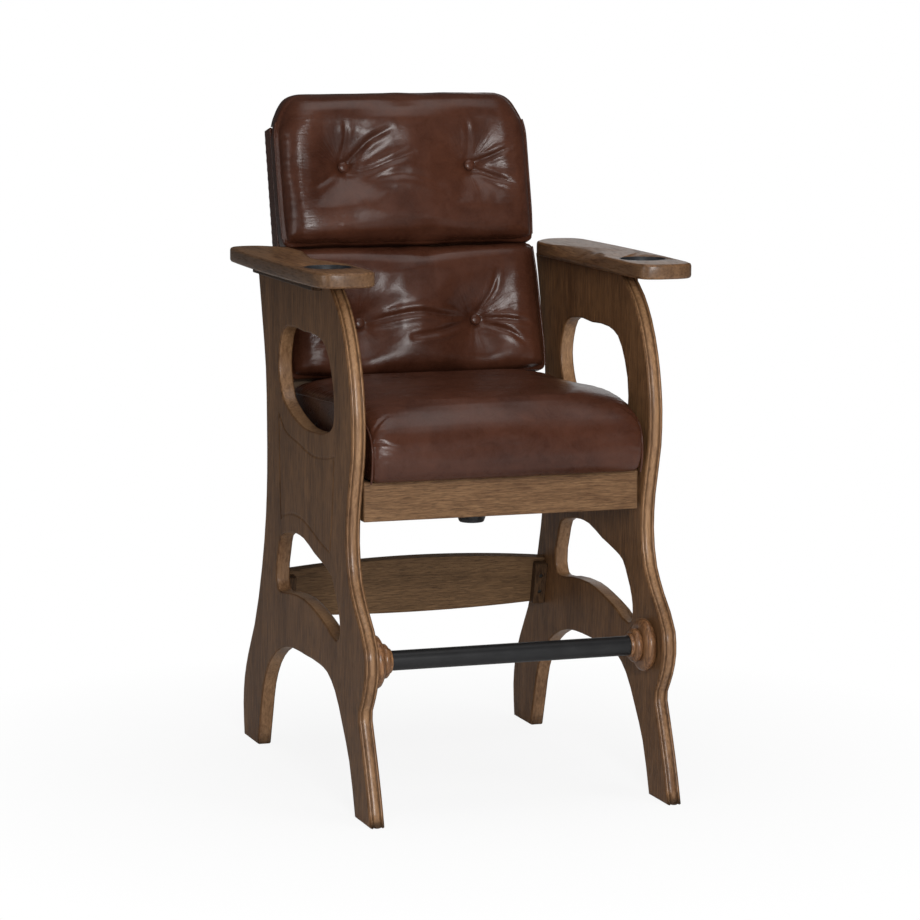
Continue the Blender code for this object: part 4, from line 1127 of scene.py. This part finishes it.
class STOOL_OT_hidden_parts(bpy.types.Operator):
    """Finish the seat frame, the back frame, the fasteners and the cap under the seat"""

    bl_idname = "stool.hidden_parts"
    bl_label = "Frame, fasteners and cap"

    def execute(self, context):
        slots = {row["node"]: row["material_slot"] for row in frame["record"]["subparts"]}
        for name, node in frame["nodes"].items():
            if slots.get(name) == "hidden_wood":
                coat(node, plain_wood())
            elif slots.get(name) == "dark_steel":
                coat(node, fastener_steel())
        low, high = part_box("under_seat_cap")
        centre = (Vector(low) + Vector(high)) / 2
        height = high[2] - low[2]
        profile = (
            (0, 0), (0.0300, 0), (0.0298, 0.0030), (0.0281, height - 0.0135), (0.0243, height - 0.0020),
            (0.0225, height), (0.0090, height), (0.0080, height - 0.0012), (0, height - 0.0012),
        )
        bm = revolved([(radius, 0, high[2] - drop) for radius, drop in profile], (0, 0, 0), (0, 0, 1))
        bmesh.ops.translate(bm, verts=bm.verts, vec=(centre.x, centre.y, 0))
        finished(
            "under_seat_cap_moulding", bm, cup_plastic(), replaces=("under_seat_cap",),
            sharp=40,
        )
        return {"FINISHED"}


def revolved(points, centre, axis, steps=64):
    """Spins a line of points about an axis."""
    bm = bmesh.new()
    verts = [bm.verts.new(p) for p in points]
    edges = [bm.edges.new(pair) for pair in zip(verts, verts[1:])]
    bmesh.ops.spin(
        bm, geom=verts + edges, cent=centre, axis=axis, angle=math.radians(360), steps=steps, use_merge=True
    )
    bmesh.ops.remove_doubles(bm, verts=bm.verts, dist=MERGE)
    bmesh.ops.holes_fill(bm, edges=[e for e in bm.edges if e.is_boundary], sides=0)
    bmesh.ops.recalc_face_normals(bm, faces=bm.faces)
    return bm


class STOOL_OT_footrail(bpy.types.Operator):
    """Turn the rings that hold the footrail and finish the rail"""

    bl_idname = "stool.footrail"
    bl_label = "Footrail and its rings"

    def execute(self, context):
        rail = frame["nodes"]["foot_rail_tube"]
        low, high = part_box("foot_rail_tube")
        centre = (Vector(low) + Vector(high)) / 2
        radius = (high[2] - low[2]) / 2
        end = high[0]
        inner = radius - TUBE_WALL
        half = [(end, 0, inner), (end, 0, radius - TUBE_BREAK), (end - TUBE_BREAK, 0, radius)]
        line = half + [(-x, 0, r) for x, _, r in reversed(half)] + [(end, 0, inner)]
        bm = revolved(line, (0, 0, 0), (1, 0, 0))
        bmesh.ops.translate(bm, verts=bm.verts, vec=(0, centre.y, centre.z))
        finished("foot_rail_pipe", bm, rail_metal(), replaces=(rail.name,), sharp=40)
        for side, word in SIDES:
            node = "rosette_" + word
            low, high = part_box(node)
            face = high[0] if side > 0 else low[0]
            line = [(face - side * away, 0, r) for away, r in RING_PROFILE]
            bore = [(line[-1][0], 0, RING_BORE), (line[0][0], 0, RING_BORE)]
            line = bore[1:] + line + bore
            bm = revolved(line, (0, 0, 0), (1, 0, 0), steps=96)
            bmesh.ops.translate(bm, verts=bm.verts, vec=(0, centre.y, centre.z))
            finished(node + "_turning", bm, ring_wood(), replaces=(node,), sharp=50)
        return {"FINISHED"}


class STOOL_OT_cup_liners(bpy.types.Operator):
    """Make the liners of the cup recesses"""

    bl_idname = "stool.cup_liners"
    bl_label = "Cup liners"

    def execute(self, context):
        for side, word in SIDES:
            node = "cup_insert_" + word
            low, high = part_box(node)
            radius, depth = (high[0] - low[0]) / 2, high[2] - low[2]
            line = [(0, 0), (radius - 0.0040, 0), (radius - 0.0012, 0.0012), (radius, 0.0040)]
            line += [(radius, depth - 0.0006), (radius - 0.0006, depth), (radius - 0.0016, depth)]
            line += [(radius - 0.0024, depth - 0.0008), (radius - 0.0028, 0.0075)]
            line += [(radius - 0.0048, 0.0040), (radius - 0.0080, 0.0032)]
            for k in range(3):
                ring = 0.030 - 0.009 * k
                line += [(ring + 0.0012, 0.0032), (ring, 0.0040), (ring - 0.0012, 0.0032)]
            line += [(0, 0.0032)]
            bm = revolved([(r, 0, z) for r, z in line], (0, 0, 0), (0, 0, 1), steps=72)
            centre = (Vector(low) + Vector(high)) / 2
            bmesh.ops.translate(bm, verts=bm.verts, vec=(centre.x, centre.y, low[2]))
            finished(
                node + "_moulding", bm, cup_plastic(), replaces=(node,), body=word + "_cup_liner",
                sharp=50,
            )
        return {"FINISHED"}


class STOOL_OT_seat(bpy.types.Operator):
    """Fill the seat cushion and pipe its sides"""

    bl_idname = "stool.seat"
    bl_label = "Seat cushion"

    def execute(self, context):
        mesh = soft_mesh("seat_cushion", shapes().pad_mesh * SEAT_MESH_SHARE)
        points = positions(mesh)
        half = np.abs(points[:, 0]).max()
        seams = [[(side * half, y, z) for y, z in SEAT_SEAM] for side, _ in SIDES]
        beside = np.minimum(*(nearest(points, seam)[0] for seam in seams))
        held = np.clip(1.5 - beside / SEAM_WIDTH, 0, 1)
        held = np.maximum(held, np.clip(1.6 - (points[:, 2] - SEAT_BASE) / 0.006, 0, 1))
        mesh = swollen(mesh, held, slack=SEAT_SLACK_SHARE, rounds=120)
        mesh = divided(mesh)
        points, outward = positions(mesh), normals(mesh)
        x, y, z = points.T
        height = np.zeros(len(points))
        for path, width, deep in SEAT_PLEATS:
            height += crease(points, path, width, deep)
        inside = half - np.abs(x)
        above = np.clip((z - SEAT_BASE - 0.02) / 0.02, 0, 1)
        height += above * edge_puckers(inside, y + z, SEAT_GATHERS, phase=0.7)
        top = np.clip((z - 0.72) / 0.02, 0, 1)
        height += top * 0.0003 * np.sin(x * 34 + 3 * np.sin(y * 21)) * np.sin(y * 60 + 2 * np.sin(x * 15))
        place_points(mesh, points + outward * height[:, None])
        pad = covered("seat_cushion", mesh)
        for side, word in SIDES:
            path = curved([(side * (half - 0.0004), y, z) for y, z in SEAT_SEAM], 6)
            piping("seat_piping_" + word, path)
        return {"FINISHED"}


class STOOL_OT_back(bpy.types.Operator):
    """Fill the two back cushions, pipe their sides and set their buttons"""

    bl_idname = "stool.back"
    bl_label = "Back cushions"

    def execute(self, context):
        for row, button, piped, creases, phase in (
            ("upper", UPPER_BUTTON, UPPER_PIPING, UPPER_CREASES, 0.4),
            ("lower", LOWER_BUTTON, LOWER_PIPING, LOWER_CREASES, 1.9),
        ):
            pad = back_pad(row + "_back_cushion", button, piped, creases, phase)
            for side, word in SIDES:
                path = side_line(pad, side, piped)
                piping(f"{row}_piping_{word}", path)
                self.button(f"tuft_button_{row}_{word}", side * button[0], button[1])
        return {"FINISHED"}

    def button(self, node, x, rise):
        bm = revolved([(r, 0, z) for r, z in BUTTON_PROFILE], (0, 0, 0), (0, 0, 1), steps=32)
        turn = Matrix.Rotation(math.radians(90) - RECLINE, 4, "X")
        place = Matrix.Translation(from_back(x, TUFT_DEPTH, rise)) @ turn
        bmesh.ops.transform(bm, matrix=place, verts=bm.verts)
        covered(node, bm)


class STOOL_OT_back_covers(bpy.types.Operator):
    """Stretch the leather over the sides and the rear of the back"""

    bl_idname = "stool.back_covers"
    bl_label = "Back covers"

    def execute(self, context):
        for _, word in SIDES:
            band = covered("back_side_band_" + word, copy_of("back_side_band_" + word))
            softened = band.modifiers.new("softened", "BEVEL")
            softened.width = BAND_BREAK
            softened.segments = 2
            weighted(band)
        node = "outside_back_panel"
        mesh = evened(mesh_of(node, copy_of(node)), COVER_MESH)
        points, outward = positions(mesh), normals(mesh)
        x, depth, rise = to_back(points).T
        border = np.minimum(x.max() - np.abs(x), np.minimum(rise, rise.max() - rise))
        faces = np.clip((0.004 - depth) / 0.003, 0, 1)
        seam = np.exp(-(((border - BORDER_SEAM) / BORDER_SEAM_WIDTH) ** 2))
        height = -faces * BORDER_SEAM_DEPTH * seam
        height += faces * edge_puckers(border - 0.014, x + rise, 0.00035, reach=0.03)
        place_points(mesh, points + outward * height[:, None])
        covered(node, mesh)
        return {"FINISHED"}


class STOOL_PT_panel(bpy.types.Panel):
    """Lists the stool's pieces in the sidebar"""

    bl_idname = "STOOL_PT_panel"
    bl_label = "Spectator bar stool"
    bl_space_type = "VIEW_3D"
    bl_region_type = "UI"
    bl_category = "Bar stool"

    def draw(self, context):
        for group in ("stool_finishes", "stool_shapes", "stool_stage"):
            values = getattr(context.scene, group)
            for name in values.bl_rna.properties.keys():
                if name not in ("rna_type", "name"):
                    self.layout.prop(values, name)
        for operator in OPERATORS:
            self.layout.operator(operator.bl_idname)


GROUPS = {"stool_finishes": StoolFinishes, "stool_shapes": StoolShapes, "stool_stage": StoolStage}
OPERATORS = (
    STOOL_OT_stage,
    STOOL_OT_side_panels,
    STOOL_OT_boards,
    STOOL_OT_hidden_parts,
    STOOL_OT_footrail,
    STOOL_OT_cup_liners,
    STOOL_OT_seat,
    STOOL_OT_back,
    STOOL_OT_back_covers,
)
CLASSES = (*GROUPS.values(), *OPERATORS, STOOL_PT_panel)


def register():
    for made in CLASSES:
        bpy.utils.register_class(made)
    for name, group in GROUPS.items():
        setattr(bpy.types.Scene, name, bpy.props.PointerProperty(type=group))


def unregister():
    for name in GROUPS:
        delattr(bpy.types.Scene, name)
    for made in reversed(CLASSES):
        bpy.utils.unregister_class(made)


def main():
    register()
    bpy.ops.stool.stage()
    bpy.ops.stool.side_panels()
    bpy.ops.stool.boards()
    bpy.ops.stool.hidden_parts()
    bpy.ops.stool.footrail()
    bpy.ops.stool.cup_liners()
    bpy.ops.stool.seat()
    bpy.ops.stool.back()
    bpy.ops.stool.back_covers()


if __name__ == "__main__":
    main()
